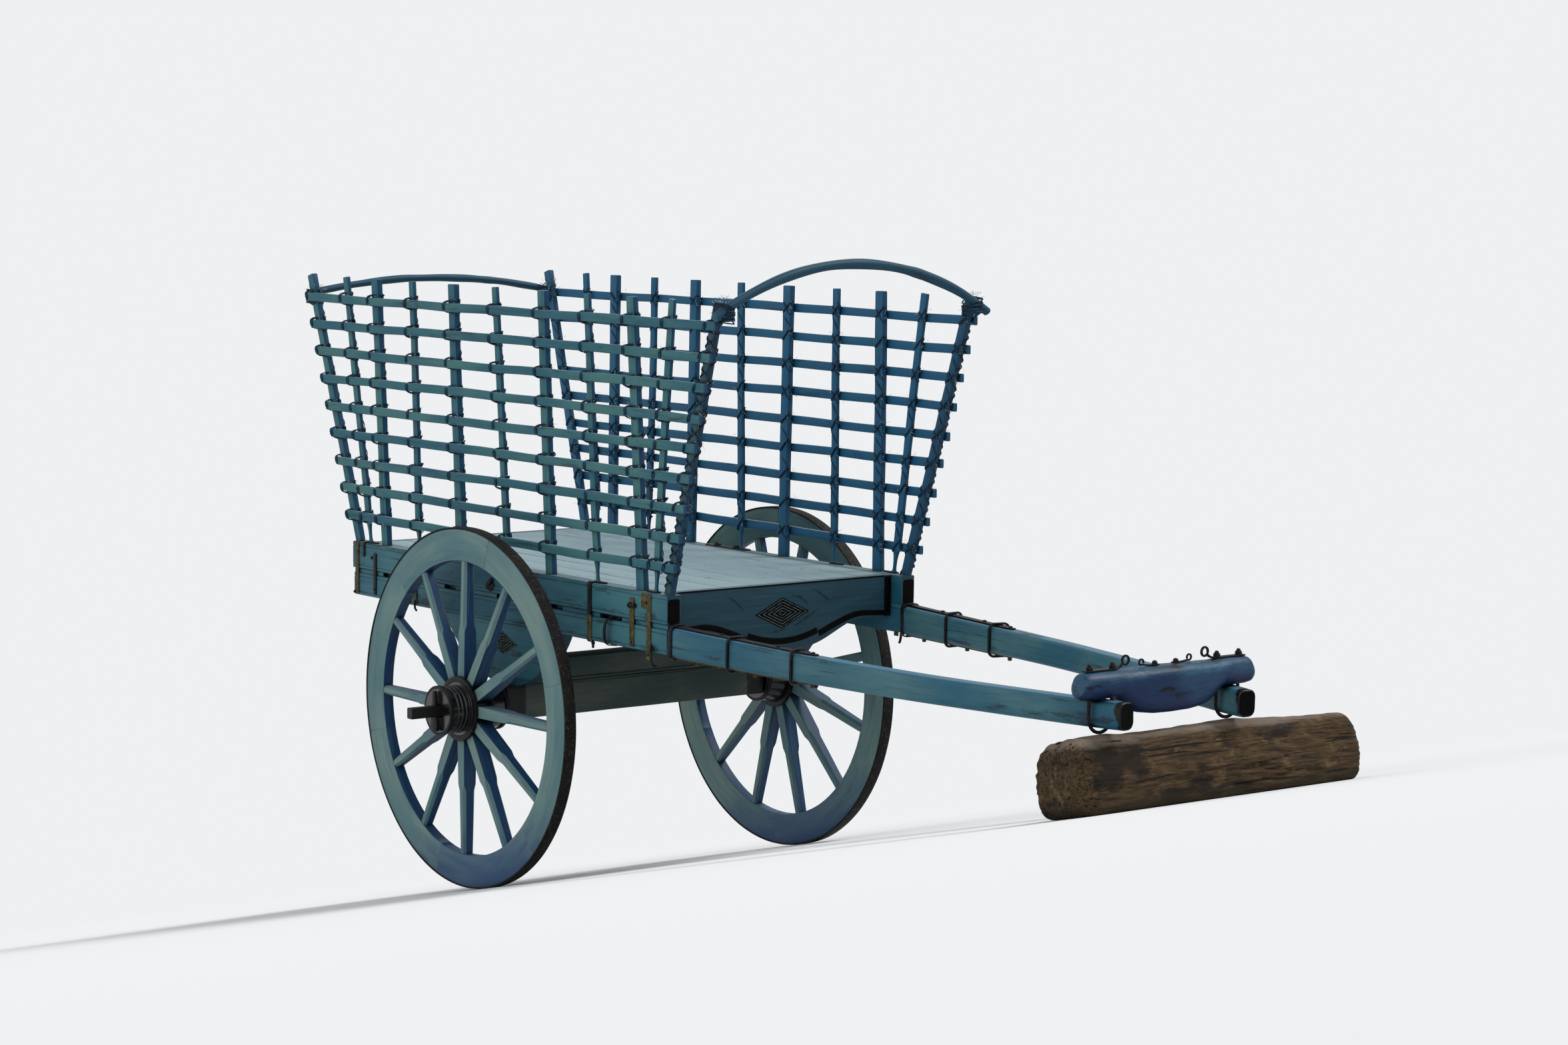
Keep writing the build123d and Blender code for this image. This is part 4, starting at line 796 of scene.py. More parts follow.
def stud(at, way, wide, tall, seed, steps, dome):
    """A bolt head: rings that rise straight from the face and then close in as a dome, half the width times
    the cosine of an angle that grows to 1.25."""
    turn_in = np.linspace(0, 1.25, 4)
    heights = np.concatenate([[0, 1 - dome], 1 - dome + dome * np.sin(turn_in[1:])]) * tall
    radii = np.concatenate([[1, 1], np.cos(turn_in[1:])]) * wide / 2
    section = radii[:, None, None] * circle(steps)
    way = np.asarray(way, float)
    across = (0, 1, 0) if abs(way[1]) < 0.7 else (1, 0, 0)
    return hewn(np.asarray(at, float) + heights[:, None] * way, section, across, seed=seed)


strap_rust, w, flow = grained("rusted_strap")
scale_marks = flow.noise(60, detail=6, rough=0.7)
colour = scale_marks.between(0.4, 0.66).mix(tone(60, 54, 32), tone(92, 84, 50))
browner = flow.noise(3, detail=2).between(0.46, 0.60)
colour = (browner * 0.7).mix(colour, tone(84, 64, 48))
colour = (flow.noise(24, detail=6).between(0.58, 0.66) * 0.8).mix(colour, tone(32, 27, 22))
shade(w, colour, 0.7 + scale_marks * 0.2, scale_marks, 0.0012, metal=0.25)

shaft_paint = painted("shaft_paint", (28, 78, 96), (62, 100, 106), (14, 48, 72), (72, 70, 60),
                      sheltered_and_shade=(22, 80, 106), worn=0.6, smear=0.7, gloss=0.4, fade_and_highlight=0.35, tarred=2.240)
# Place along a shaft, tilt, breadth and thickness of each band
BANDS = [(0.020, 0.0, 0.018, 0.0052), (0.345, 0.012, 0.011, 0.010), (0.675, -0.010, 0.011, 0.010)]
for side, word in SIDES:
    mirror = np.array([1, side, 1])
    across = SHAFT_SIDE * mirror
    along = np.concatenate([[0.0], np.linspace(0.03, SHAFT_LONG - 0.03, 44),
                            [SHAFT_LONG - 0.012, SHAFT_LONG]])
    wide, tall = shaft_size(along)
    cut = 0.018 + 0.009 * np.clip((along - SHAFT_LONG + 0.10) / 0.10, 0, 1)
    pole = hewn(on_shaft(along, 0, 0, side), corners(wide, tall, cut, 5), across,
                0.004, 0.0011, 240 + side, 4)
    build(f"shaft_pole_{word}", [pole], shaft_paint, f"shaft_{word}")
    wide, tall = shaft_size(SHAFT_LONG)
    cap = hewn(on_shaft(np.array([-0.003, 0.0010]) + SHAFT_LONG, 0, 0, side),
               corners(wide - 0.010, tall - 0.010, 0.023, 5), across, seed=245)
    build(f"shaft_end_{word}", [cap], carving_paint)
    for way in (1, -1):
        along = np.concatenate([[0.016, 0.05], np.linspace(0.10, 0.735, 14), [0.757, 0.775]])
        height = shaft_size(along)[1] / 2 + 0.0035
        wide = np.where(along > 0.74, 0.024, 0.034)
        plates = [hewn(on_shaft(along, 0, way * height, side), corners(wide, 0.006, 0.0018, 3), across, 0.001,
                       0.0005, 250 + way)]
        for at in (0.265, 0.57, 0.755) if way > 0 else (0.13, 0.45, 0.755):
            foot = on_shaft(at, 0, way * (shaft_size(at)[1] / 2 + 0.0064), side)
            wide, tall, steps, dome = (0.017, 0.0065, 10, 0.5) if way > 0 else (0.018, 0.014, 6, 0.2)
            plates.append(stud(foot, SHAFT_UP * way * mirror, wide, tall, 255, steps, dome))
        kind, finish = ("top", iron) if way > 0 else ("under", strap_rust)
        build(f"shaft_{kind}_plate_{word}", plates, finish, f"shaft_plates_{word}")
    bands = []
    for k, (at, tilt, broad, thick) in enumerate(BANDS):
        wide, tall = shaft_size(at)
        loop = corners(wide + 0.0006 + thick, tall + 0.0136 + thick, 0.024, 8)[0]
        path = on_shaft(at + tilt * loop[:, 0] / wide, loop[:, 0], loop[:, 1], side)
        bands.append(hewn(path, corners(broad, thick, 0.44 * thick, 4), SHAFT_WAY * mirror, waver=0.0007,
                          seed=260 + k, closed=True))
    build(f"shaft_loops_{word}", bands, iron, f"shaft_bands_{word}")

# Yoke: one baulk across both shafts, adzed round at its ends and left deep between the shafts, nearly black
# with hands and weather over dark blue paint.
YOKE_X, YOKE_TOP, YOKE_HALF = 3.262, 1.25876, 0.420
# (distance from the middle, height, depth fore and aft) of one half
YOKE_SECTIONS = np.array([(0.0, 0.168, 0.138), (0.08, 0.167, 0.137), (0.15, 0.157, 0.130),
                          (0.20, 0.128, 0.121), (0.25, 0.098, 0.113), (0.388, 0.098, 0.100),
                          (0.407, 0.094, 0.096), (0.42, 0.080, 0.082)])
yoke_paint, w, flow = grained("yoke_paint")
worn = flow.noise(7, (0.5, 1, 1), 4).between(0.38, 0.62)
smears = flow.noise(20, (0.3, 1, 1), 6, 0.68).between(0.56, 0.66)
adze = flow.noise(34, (0.5, 1, 1), 3)
fine = flow.noise(180, (0.08, 1, 1), 4)
colour = worn.mix(tone(18, 46, 72), tone(40, 76, 98))
# Painted shade: faces that look down are a darker, deeper blue.
shaded_underneath = 1 - w.facing(2).between(-0.5, 0.3)
colour = (shaded_underneath * 0.8).mix(colour, tone(16, 28, 66))
colour = (fine.between(0.45, 0.75) * 0.5).mix(colour, tone(12, 30, 48))
colour = smears.mix(colour, tone(7, 9, 13))
shade(w, colour, 0.30 + fine * 0.25, adze * 0.9 + fine * 0.25, 0.0026, sheen_back=0.16)
y = np.linspace(-YOKE_HALF, YOKE_HALF, 71)
tall, deep = (np.interp(np.abs(y), YOKE_SECTIONS[:, 0], YOKE_SECTIONS[:, k]) for k in (1, 2))
top = YOKE_TOP - 0.006 * np.clip((np.abs(y) - 0.385) / 0.035, 0, 1) ** 2
cut = np.minimum(0.044, np.minimum(tall, deep) / 2 - 0.0015)
section = corners(deep - 0.003, tall - 0.001, cut, 9)
path = np.stack([YOKE_X + 0 * y, y, top - tall / 2], -1)
build("yoke_baulk", [hewn(path, section, (-1, 0, 0), 0.004, 0.0016, 300, 16)], yoke_paint, "yoke")

# Yoke irons: a U-bolt up around each shaft and through the yoke, its nuts on a flat bar whose inner end is
# drawn out and turned up into the eye for the ropes, and two small eyes with a bolt of their own nearer the
# middle.
shaft_y = float(np.interp(YOKE_X, [SHAFT_ROOT[0], SHAFT_TIP[0]], [SHAFT_ROOT[1], SHAFT_TIP[1]]))
LEG = 0.0554
BOLT_LOW = 1.04075
BOLT_END = YOKE_TOP + 0.028
# Width and thickness of the flat bar along its way to the eye, and of the small eye's tail
BAR_SHAPE = np.array([(0.028, 0.0055), (0.030, 0.006), (0.028, 0.006), (0.030, 0.006), (0.022, 0.0065),
                      (0.013, 0.0075), (0.010, 0.008)] + [(0.0085, 0.0078)] * 22)
HOOK_SHAPE = np.array([(0.018, 0.0052), (0.020, 0.0054), (0.013, 0.0056), (0.009, 0.006)]
                      + [(0.0066, 0.0062)] * 18)


def rod(path, radius, seed, steps=8, across=(1, 0, 0)):
    """A round bar along a path: a circle carried along it."""
    return hewn(path, radius * circle(steps)[None], across, 0.0012, 0.0003, seed, 30)


def arc(centre, radius, start, end, steps, plane=(1, 2)):
    """Points of a circle in two of the three axes, from one angle to another, the third axis constant."""
    angle = np.linspace(start, end, steps)
    points = np.tile(np.asarray(centre, float), (steps, 1))
    points[:, plane[0]] += radius * np.cos(angle)
    points[:, plane[1]] += radius * np.sin(angle)
    return points


ubolts, bars, hooks = [], [], []
for side, _ in SIDES:
    flip = np.array([1, side, 1])
    mid = (YOKE_X, shaft_y, BOLT_LOW + LEG)
    bend = arc(mid, LEG, pi, 2 * pi, 15)
    inner_top, outer_top = (YOKE_X, shaft_y - LEG, BOLT_END), (YOKE_X, shaft_y + LEG, BOLT_END)
    path = np.concatenate([line(inner_top, bend[0], 6)[:-1], bend, line(bend[-1], outer_top, 6)[1:]])
    ubolts.append(rod(path * flip, 0.0065, 310, 10))
    for y in (shaft_y - LEG, shaft_y + LEG):
        ubolts.append(stud((YOKE_X, side * y, YOKE_TOP + 0.0068), (0, 0, 1), 0.027, 0.0125, 311, 6, 0.15))
        ubolts.append(stud((YOKE_X, side * y, YOKE_TOP + 0.0179), (0, 0, 1), 0.019, 0.0100, 312, 10, 0.9))
    y = np.array([shaft_y + LEG + 0.024, shaft_y + LEG, shaft_y, shaft_y - LEG, shaft_y - LEG - 0.018])
    eye_at = np.array([YOKE_X, shaft_y - LEG - 0.062, YOKE_TOP + 0.030])
    loop = arc(eye_at, 0.0160, -0.62, -0.62 - 1.93 * pi, 22)
    flat = np.stack([0 * y + YOKE_X, y, 0 * y + YOKE_TOP + 0.0035], -1)
    neck = [(YOKE_X, y[-1] - 0.013, YOKE_TOP + 0.0075), (YOKE_X, eye_at[1] + 0.0215, eye_at[2] - 0.0185)]
    path = np.concatenate([flat, neck, loop])
    bars.append(hewn(path * flip, corners(*BAR_SHAPE.T, 0.0019, 3), (1, 0, 0), 0.001, 0.0004, 315 + side, 30))
    ring_at = np.array([YOKE_X, 0.118, YOKE_TOP + 0.0162])
    loop = arc(ring_at, 0.0105, pi + 0.9, pi + 0.9 + 1.86 * pi, 18)
    tail = [(YOKE_X, y, YOKE_TOP + rise) for y, rise in ((0.036, 0.003), (0.052, 0.003), (0.082, 0.0032),
                                                         (0.100, 0.0050))]
    path = np.concatenate([tail, loop])
    hooks.append(hewn(path * flip, corners(*HOOK_SHAPE.T, 0.0016, 3), (1, 0, 0), 0.001, 0.0003, 318, 30))
    hooks.append(stud((YOKE_X, side * 0.052, YOKE_TOP + 0.0056), (0, 0, 1), 0.020, 0.0125, 319, 8, 0.6))
build("yoke_u_bolts", ubolts, iron, "yoke_ubolts")
build("yoke_eye_bars", bars, iron, "yoke_eyes")
build("yoke_hook_eyes", hooks, iron, "yoke_hooks")

# Lattice: eleven uprights a side, fanned out like a hand, large and small by turns, with nine laths outside
# them. The sticks are hewn, not sawn true, and painted a deeper blue than the wheels. The small uprights
# stand on iron rods with a flat foot.
lattice_paint = painted("lattice_paint", (26, 80, 94), (56, 101, 100), (14, 50, 72),
                        (70, 84, 82), sheltered_and_shade=(14, 56, 84), worn=0.4, inner=(20, 78, 110))
# The front corner posts take a darker copy of the lattice paint: grime of their bindings and painted shade.
post_paint_shaded = painted("post_paint_shaded", (22, 56, 66), (44, 76, 80), (12, 32, 46), (60, 68, 62),
                     sheltered_and_shade=(16, 50, 74), smear=0.6, inner=(20, 66, 94))
LEAN_OUT, RISE = 0.032, 1.163
LEAN = atan2(LEAN_OUT, RISE)
LATTICE_TALL = hypot(LEAN_OUT, RISE)
FOOT_Y = 0.606 + 0.014 / cos(LEAN)
BIG, SMALL, CORNER = (0.050, 0.028), (0.037, 0.018), (0.042, 0.028)
# Place along the cart of a foot and of a top, width and thickness, and the way that the iron foot points, if
# any
UPRIGHTS = [(-1.191, -1.549, CORNER, 0), (-1.096, -1.251, SMALL, 1), (-0.974, -1.009, BIG, 0),
            (-0.702, -0.711, SMALL, 1), (-0.378, -0.399, BIG, 0), (-0.016, -0.074, SMALL, 1),
            (0.291, 0.267, BIG, 0), (0.629, 0.586, SMALL, 1), (0.929, 0.887, BIG, 0),
            (1.026, 1.159, SMALL, -1), (1.109, 1.455, CORNER, 0)]
LATH_PITCH = 0.1195
LATH_Z = 1.434 + LATH_PITCH * np.arange(9)
LATH_TALL = 0.036
LATH_MIDDLE = 0.0088
LATH_OVER = 0.037
# (distance up, width, depth) of the rod under a small upright
STEM = np.array([(0.0045, 0.022, 0.019), (0.013, 0.0155, 0.0135), (0.027, 0.014, 0.012),
                 (0.053, 0.015, 0.013), (0.072, 0.019, 0.015), (0.0853, 0.025, 0.0165)])
# (place along, width) of the rod's flat foot
FOOT = np.array([(-0.021, 0.017), (-0.017, 0.022), (0.0, 0.022), (0.021, 0.022), (0.035, 0.0167),
                 (0.050, 0.011), (0.0625, 0.006)])


def on_lattice(x, up_slope, out, side):
    """Points on a side of the lattice: x along the cart, a distance up the leaning plane of the uprights'
    outer faces, and a distance out of it: (x, y0 + s sin a + n cos a, z0 + s cos a - n sin a)."""
    x, up_slope, out = np.broadcast_arrays(*[np.asarray(v, float) for v in (x, up_slope, out)])
    y = FOOT_Y + up_slope * sin(LEAN) + out * cos(LEAN)
    return np.stack([x, side * y, DECK_Z + up_slope * cos(LEAN) - out * sin(LEAN)], -1)


def upright_x(upright, up_slope):
    """x of the middle of an upright at a distance up the slope."""
    return upright[0] + (upright[1] - upright[0]) * np.asarray(up_slope) / LATTICE_TALL


for side, word in SIDES:
    sticks, laths, feet, stems = [], [], [], []
    for k, upright in enumerate(UPRIGHTS):
        foot, top, (wide, thick), toe = upright
        start = 0.0855 if toe else 0.0
        s = np.concatenate([[start], np.linspace(start + 0.016, LATTICE_TALL - 0.0035, 22), [LATTICE_TALL]])
        draw = np.random.default_rng(400 + 20 * side + k)
        sway = (0.0022 if toe else 0.0012) * np.sin(s * draw.uniform(4, 8) + draw.uniform(0, 6))
        swell = 1 + 0.035 * np.sin(s * draw.uniform(9, 15) + draw.uniform(0, 6))
        swell[-1] *= 0.90
        swell[0] *= 0.70 if toe else 1.0
        section = corners(wide * swell, thick * np.minimum(swell, 1.0), 0.0045 if wide > 0.04 else 0.005, 3)
        path = on_lattice(upright_x(upright, s) + sway, s, -thick / 2, side)
        sticks.append(hewn(path, section, (1, 0, 0), 0, 0.0008, 420 + 30 * side + k, 12))
        if toe:
            y = side * (0.620 - thick / 2)
            s = STEM[:, 0]
            path = on_lattice(upright_x(upright, s), s, -thick / 2, side)
            stems.append(hewn(path, corners(*STEM[:, 1:].T, 0.004, 3), (1, 0, 0), seed=440))
            reach, broad = FOOT.T
            path = np.stack([foot + toe * reach, 0 * reach + y, DECK_Z + 0.0036 + 0 * reach], -1)
            feet.append(hewn(path, corners(broad, 0.0058, 0.0018, 3), (0, 1, 0), 0, 0.0004, 441))
    for k, z in enumerate(LATH_Z):
        s = (z - DECK_Z) / cos(LEAN)
        x0, x1 = upright_x(UPRIGHTS[0], s) - LATH_OVER, upright_x(UPRIGHTS[-1], s) + LATH_OVER
        draw = np.random.default_rng(500 + 20 * side + k)
        x = np.linspace(x0, x1, 44)
        bow_up = 0.003 * np.sin(x * draw.uniform(1.2, 2.4) + draw.uniform(0, 6)) + 0.0012 * np.sin(x * 9 + k)
        swell = 1 + 0.04 * np.sin(x * draw.uniform(3, 6) + draw.uniform(0, 6))
        path = on_lattice(x, s + bow_up, LATH_MIDDLE, side)
        laths.append(hewn(path, corners(0.017, LATH_TALL * swell, 0.0042, 4), (0, 1, 0), 0.0025, 0.0007,
                          520 + 30 * side + k, 10))
    build(f"upright_sticks_{word}", sticks[:-1], lattice_paint, f"uprights_{word}")
    build(f"corner_post_{word}", sticks[-1:], post_paint_shaded, f"uprights_{word}")
    build(f"lattice_laths_{word}", laths, lattice_paint, f"lattice_rails_{word}")
    build(f"iron_feet_{word}", feet, iron, f"upright_feet_{word}")
    build(f"foot_stems_{word}", stems, lattice_paint)

# Bows: a bent pole from side to side outside each pair of corner posts, with the knots and flats of a branch
# that was barked and painted. Each bow's end across and up, the rise of its middle above that, and its radius
FRONT_BOW = (0.690, 2.425, 0.200, 0.021)
REAR_BOW = (0.646, 2.400, 0.062, 0.018)
CORNER_TOP_Y = 0.638
POST_HALF = CORNER[0] / 2
BOW_GAP = 0.0003
BOW_SIDES = 14


def bow_x(end_y, end_z, rise, radius, upright, way):
    """x at which a bow touches the outer edge of a leaning corner post where it passes it."""
    bend = (end_y ** 2 + rise ** 2) / (2 * rise)
    z = end_z + rise - bend + (bend ** 2 - (CORNER_TOP_Y - POST_HALF) ** 2) ** 0.5
    slope = (upright[1] - upright[0]) / LATTICE_TALL
    return float(upright_x(upright, z - DECK_Z)) + way * (POST_HALF + radius + BOW_GAP) * hypot(1, slope)


bow_paint = painted("bow_paint", (26, 74, 92), (48, 92, 104), (14, 46, 66), (70, 80, 78),
                    sheltered_and_shade=(16, 56, 74), fade_and_highlight=0.7)
bow_lines = {}
for name, sizes, upright, way in (("front", FRONT_BOW, UPRIGHTS[-1], 1), ("rear", REAR_BOW, UPRIGHTS[0], -1)):
    end_y, end_z, rise, radius = sizes
    x = bow_x(*sizes, upright, way)
    curve = through((-end_y, end_z), (0, end_z + rise), (end_y, end_z), 56)
    path = np.column_stack([np.full(len(curve), x), curve])
    bow_lines[name] = path
    knots = 1 + 0.07 * np.sin(curve[:, 0] * 17 + way) + 0.10 * np.exp(-((curve[:, 0] - 0.31) / 0.03) ** 2)
    knots *= 1 - 0.10 * np.abs(curve[:, 0] / end_y) ** 3
    angle = np.arange(BOW_SIDES) * 2 * pi / BOW_SIDES
    flats = radius * 0.93 * (1 + 0.04 * np.cos(3 * angle))[None] * knots[:, None]
    section = flats[..., None] * circle(BOW_SIDES)
    pole = hewn(path, section, (1, 0, 0), 0.003, 0.0015, 560 + way, 9)
    build(f"{name}_bow_pole", [pole], bow_paint, f"{name}_bow", crease=40)

# Lashings: every lath is tied to every upright with three turns and a loose knot of coir twine, painted over
# with the lattice. A turn goes over the lath behind the upright's rear edge and comes back across its inner
# face, and at about half the crossings the twine climbs on to the next lath. Broken fibres stand out of every
# tie.
twine, w, flow = grained("lashing_twine")
strands = flow.noise(420, (0.25, 1, 1), 2)
painted_over = flow.noise(30, detail=3).between(0.46, 0.60)
colour = painted_over.mix(tone(30, 46, 58), tone(28, 66, 92))
# Painted shade: darker in the grooves between strands.
colour = (strands.between(0.5, 0.75) * 0.5).mix(colour, tone(14, 22, 30))
shade(w, colour, 0.8 + strands * 0.1, strands, 0.0012)
fibre, w, flow = grained("frayed_fibre")
# The fibres are pale: their own faded grey-blue, lightened towards white as painted highlight of backlight.
shade(w, flow.noise(12, detail=2).between(0.45, 0.65).mix(tone(70, 98, 116), tone(176, 188, 190)), 0.85)

TWINE = 0.0027
LATH_FACE = 0.0178
WRAPS, KNOTS, FRAYS = 3, 2, 18
TRIANGLE = np.stack([np.cos([0.5, 2.6, 4.7]), np.sin([0.5, 2.6, 4.7])], -1)


def twine_loop(points, radius, seed, closed=True):
    """A three-sided cord through a few points, closed on itself or not. Each corner is cut once: every
    stretch gives the points at a quarter and at three quarters of it."""
    points = np.asarray(points, float)
    after = np.roll(points, -1, 0) if closed else points[1:]
    before = points if closed else points[:-1]
    cut = np.stack([before * 0.75 + after * 0.25, before * 0.25 + after * 0.75], 1).reshape(-1, 3)
    return hewn(cut, (TRIANGLE * radius)[None], (0.31, 0.52, 0.79), seed=seed, closed=closed)


def frays(points, ways, lengths, radius, seed):
    """Broken fibres: a three-sided spike from each point along its own way."""
    spikes = []
    for i, (point, way, length) in enumerate(zip(points, ways, lengths)):
        way = way / np.linalg.norm(way)
        droop = np.array([0, 0, 1])[:, None] * (0, 0, -0.12) * length
        path = point + np.array([0, 0.5, 1])[:, None] * way * length + droop
        taper = np.array([1, 0.7, 0.1])[:, None, None]
        spikes.append(hewn(path, TRIANGLE * radius * taper, (0.57, 0.33, 0.75), seed=seed + i))
    return spikes


for side, word in SIDES:
    draw = np.random.default_rng(7000 + side)
    turns, loose = [], []
    for k, upright in enumerate(UPRIGHTS):
        wide, thick = upright[2]
        a, b, over, inside = wide / 2 + TWINE, LATH_TALL / 2 + TWINE, LATH_FACE + TWINE, -thick - TWINE
        for row, z in enumerate(LATH_Z):
            s = (z - DECK_Z) / cos(LEAN)
            low, high = draw.uniform(0.004, 0.012, 2)
            loops = []
            for strand in range(WRAPS):
                beside, lift = -a - 0.0052 * strand, 0.0055 * strand
                turn_over = -1 if draw.random() < 0.3 else 1
                turn = [(beside, b, over * 0.5), (beside, b * 0.6, over), (beside, -b * 0.6, over),
                        (beside + 0.002, -b, over * 0.3),
                        (-a * 0.85, -b - low + lift, inside - 0.001 * strand),
                        (a * 0.85, b + high - lift, inside - 0.002 * strand),
                        (a, b + high + 0.002, inside * 0.4),
                        (a * 0.5, b + 0.003 + 0.3 * lift, TWINE), (-a * 0.6, b + 0.001 + 0.5 * lift, TWINE)]
                loops.append(np.array(turn) * (1, turn_over, 1))
            for _ in range(KNOTS):
                knot = draw.uniform(-1, 1, (6, 3)) * (0.009, 0.010, 0.007)
                loops.append(knot + (a, b + 0.004, inside * 0.7))
            if row < len(LATH_Z) - 1 and draw.random() < 0.5:
                loops.append(np.array([(a, b, inside * 0.3), (a + 0.0005, 0.042, inside * 0.9),
                                       (a * 0.2, 0.066, inside), (-a, 0.092, inside * 0.8),
                                       (-a - 0.001, LATH_PITCH - b, over * 0.3)]))
            for n, loop in enumerate(loops):
                u, v, out = (loop + draw.normal(0, 0.0007, loop.shape)).T
                points = on_lattice(upright_x(upright, s + v) + u, s + v, out, side)
                turns.append(twine_loop(points, TWINE, 600 + n, n < WRAPS + KNOTS))
            u = draw.choice([-1, 1], FRAYS, p=[0.25, 0.75]) * a
            v = draw.uniform(-b, b + 0.012, FRAYS)
            out = draw.uniform(inside - 0.004, over, FRAYS)
            roots = on_lattice(upright_x(upright, s + v) + u, s + v, out, side)
            ways = np.stack([np.sign(u) * draw.uniform(0.2, 1.4, FRAYS), side * draw.uniform(-1, 1, FRAYS),
                             draw.uniform(-0.9, 1.2, FRAYS)], -1)
            loose += frays(roots, ways, 0.004 + 0.018 * draw.random(FRAYS) ** 2, 0.0008, 610)
    build(f"lashings_{word}", turns, twine, crease=130)
    build(f"lashing_fibres_{word}", loose, fibre, crease=80)

# Corner bindings: a cord winds both ways up each front corner post, and fifteen turns of twine, nine aslant
# and six level, tie each end of the bows to its post, with a tuft of frayed fibres.
TURNS, SLANTED, TUFT = 15, 9, 90
WIND_PITCH = LATH_PITCH / cos(LEAN)
WIND_FROM = (LATH_Z[0] - DECK_Z) / cos(LEAN) - WIND_PITCH / 2
bindings, tufts = [], []
draw = np.random.default_rng(8100)
for side, _ in SIDES:
    post = UPRIGHTS[-1]
    ring = corners(post[2][0] + 0.007, post[2][1] + 0.007, 0.007, 2)[0] - (0, post[2][1] / 2)
    for way, crossing_at in ((1, 1.5), (-1, 5.5)):
        step = np.arange(72)
        u, out = ring[::way][step % 8].T
        s = WIND_FROM + (step - crossing_at) * WIND_PITCH / 8
        bindings.append(twine_loop(on_lattice(upright_x(post, s) + u, s, out, side), 0.0038, 620, False))
    for name, upright, out_way in (("front", UPRIGHTS[-1], 1), ("rear", UPRIGHTS[0], -1)):
        line_of_bow = bow_lines[name]
        crossing = line_of_bow[np.argmin(np.abs(line_of_bow[:, 1] - side * 0.622))]
        s_at = (crossing[2] - DECK_Z) / cos(LEAN)
        post_x = float(upright_x(upright, s_at))
        middle = np.array([(post_x + crossing[0]) / 2, side * 0.628, crossing[2]])
        for turn in range(TURNS):
            level = turn >= SLANTED
            wide, deep = abs(crossing[0] - post_x) + 0.045 + 0.005 * level, 0.048 + draw.uniform(0, 0.006)
            loop = corners(wide, deep, 0.018, 3)[0]
            tilt_x, tilt_y = draw.uniform(-0.16, 0.16), draw.uniform(-0.15, 0.15) + (not level) * 0.6
            shift = -0.046 + 0.0062 * (turn - SLANTED * level) + draw.uniform(-0.002, 0.002)
            points = np.stack([middle[0] + loop[:, 0], middle[1] + loop[:, 1] * side,
                               middle[2] + shift + tilt_x * loop[:, 0] * 0.8 + tilt_y * loop[:, 1]], -1)
            bindings.append(twine_loop(points, 0.0033, 630 + turn))
        roots = middle + draw.uniform(-1, 1, (TUFT, 3)) * (0.032, 0.028, 0.034) + (-0.012 * out_way, 0, 0.004)
        ways = (roots - middle) * (0.6, 2, 1.2) + draw.normal(0, 0.02, (TUFT, 3)) + (0, 0, 0.015)
        tufts += frays(roots, ways, draw.uniform(0.006, 0.024, TUFT), 0.0010, 640)
build("corner_bindings", bindings, twine, crease=130)
build("corner_tufts", tufts, fibre, crease=80)

# Side irons: flat straps bolted on the rails' outer faces, some black, some rusted to an olive brown, a bent
# bar from a slot, a plate with two domed bolts on the deck's edge above the wheel, and a lock staple. The
# rails' front ends are painted black inside a blue rim.
FACE_Y = 0.6353
PROUD_Y = FACE_Y + 0.0045
IRON_Y = FACE_Y + 0.0026
EDGE_Y = 0.603
FLAT_Z = DECK_Z + 0.0028
RAIL_UNDER = 1.0835
# (place along the cart, lower and upper height, width, seed, how far the top and the foot are bent in)
RUSTED_STRAPS = [(-1.170, 1.093, 1.317, 0.024, 701, 0.014, 0), (-0.692, 1.100, 1.186, 0.018, 702, 0, 0),
                 (0.607, 1.088, 1.192, 0.026, 703, 0, 0.036), (0.900, 1.098, 1.290, 0.028, 704, 0, 0),
                 (1.014, 1.056, 1.318, 0.026, 705, 0, 0)]
BLACK_STRAPS = [(-1.118, 1.262, 1.317, 0.020, 710, 0.030, 0), (-1.024, 1.104, 1.284, 0.022, 711, 0, 0),
                (0.607, 1.186, 1.317, 0.026, 712, 0.014, 0)]
BENT_BAR = [(0.752, 0.615, 1.1955), (0.752, 0.640, 1.1960), (0.751, 0.653, 1.1890), (0.749, 0.6605, 1.172),
            (0.746, 0.6625, 1.145), (0.744, 0.6600, 1.115), (0.742, 0.6520, 1.093), (0.742, 0.6380, 1.0835),
            (0.748, 0.6200, 1.0825), (0.762, 0.6080, 1.0825)]
# Round irons down the rail: their points with y counted from PROUD_Y, the radius and the seed
HOOK_RODS = [([(1.031, -0.004, 1.117), (1.036, 0.004, 1.108), (1.039, 0.004, 1.075), (1.039, 0.002, 1.050),
               (1.044, -0.006, 1.036), (1.052, -0.016, 1.033)], 0.0055, 720),
             ([(-0.692, 0.001, 1.112), (-0.690, 0.004, 1.098), (-0.690, 0.002, 1.078),
               (-0.697, -0.010, 1.066)], 0.0048, 721)]
# Bolt heads: place along the cart, height, width, how far they stand out, and the face that they lie on
RAIL_BOLTS = [(0.893, 1.262, 0.024, 0.017, PROUD_Y), (1.000, 1.282, 0.012, 0.006, PROUD_Y),
              (-1.052, 1.262, 0.014, 0.007, FACE_Y), (-0.740, 1.100, 0.013, 0.006, FACE_Y),
              (-1.185, 1.100, 0.014, 0.008, PROUD_Y), (-1.024, 1.125, 0.012, 0.005, PROUD_Y),
              (0.900, 1.115, 0.012, 0.005, PROUD_Y), (1.014, 1.075, 0.012, 0.005, PROUD_Y)]
STAPLE_X, STAPLE_Z = -0.115, 1.238
STRAP_BOLT = (0.607, 0.6180)


def flat_iron(points, wide, thick, across, seed):
    """A flat bar bent along a path of points."""
    return hewn(points, corners(thick, wide, min(thick, wide) * 0.3, 3), across, 0.001, 0.0005, seed, 20)


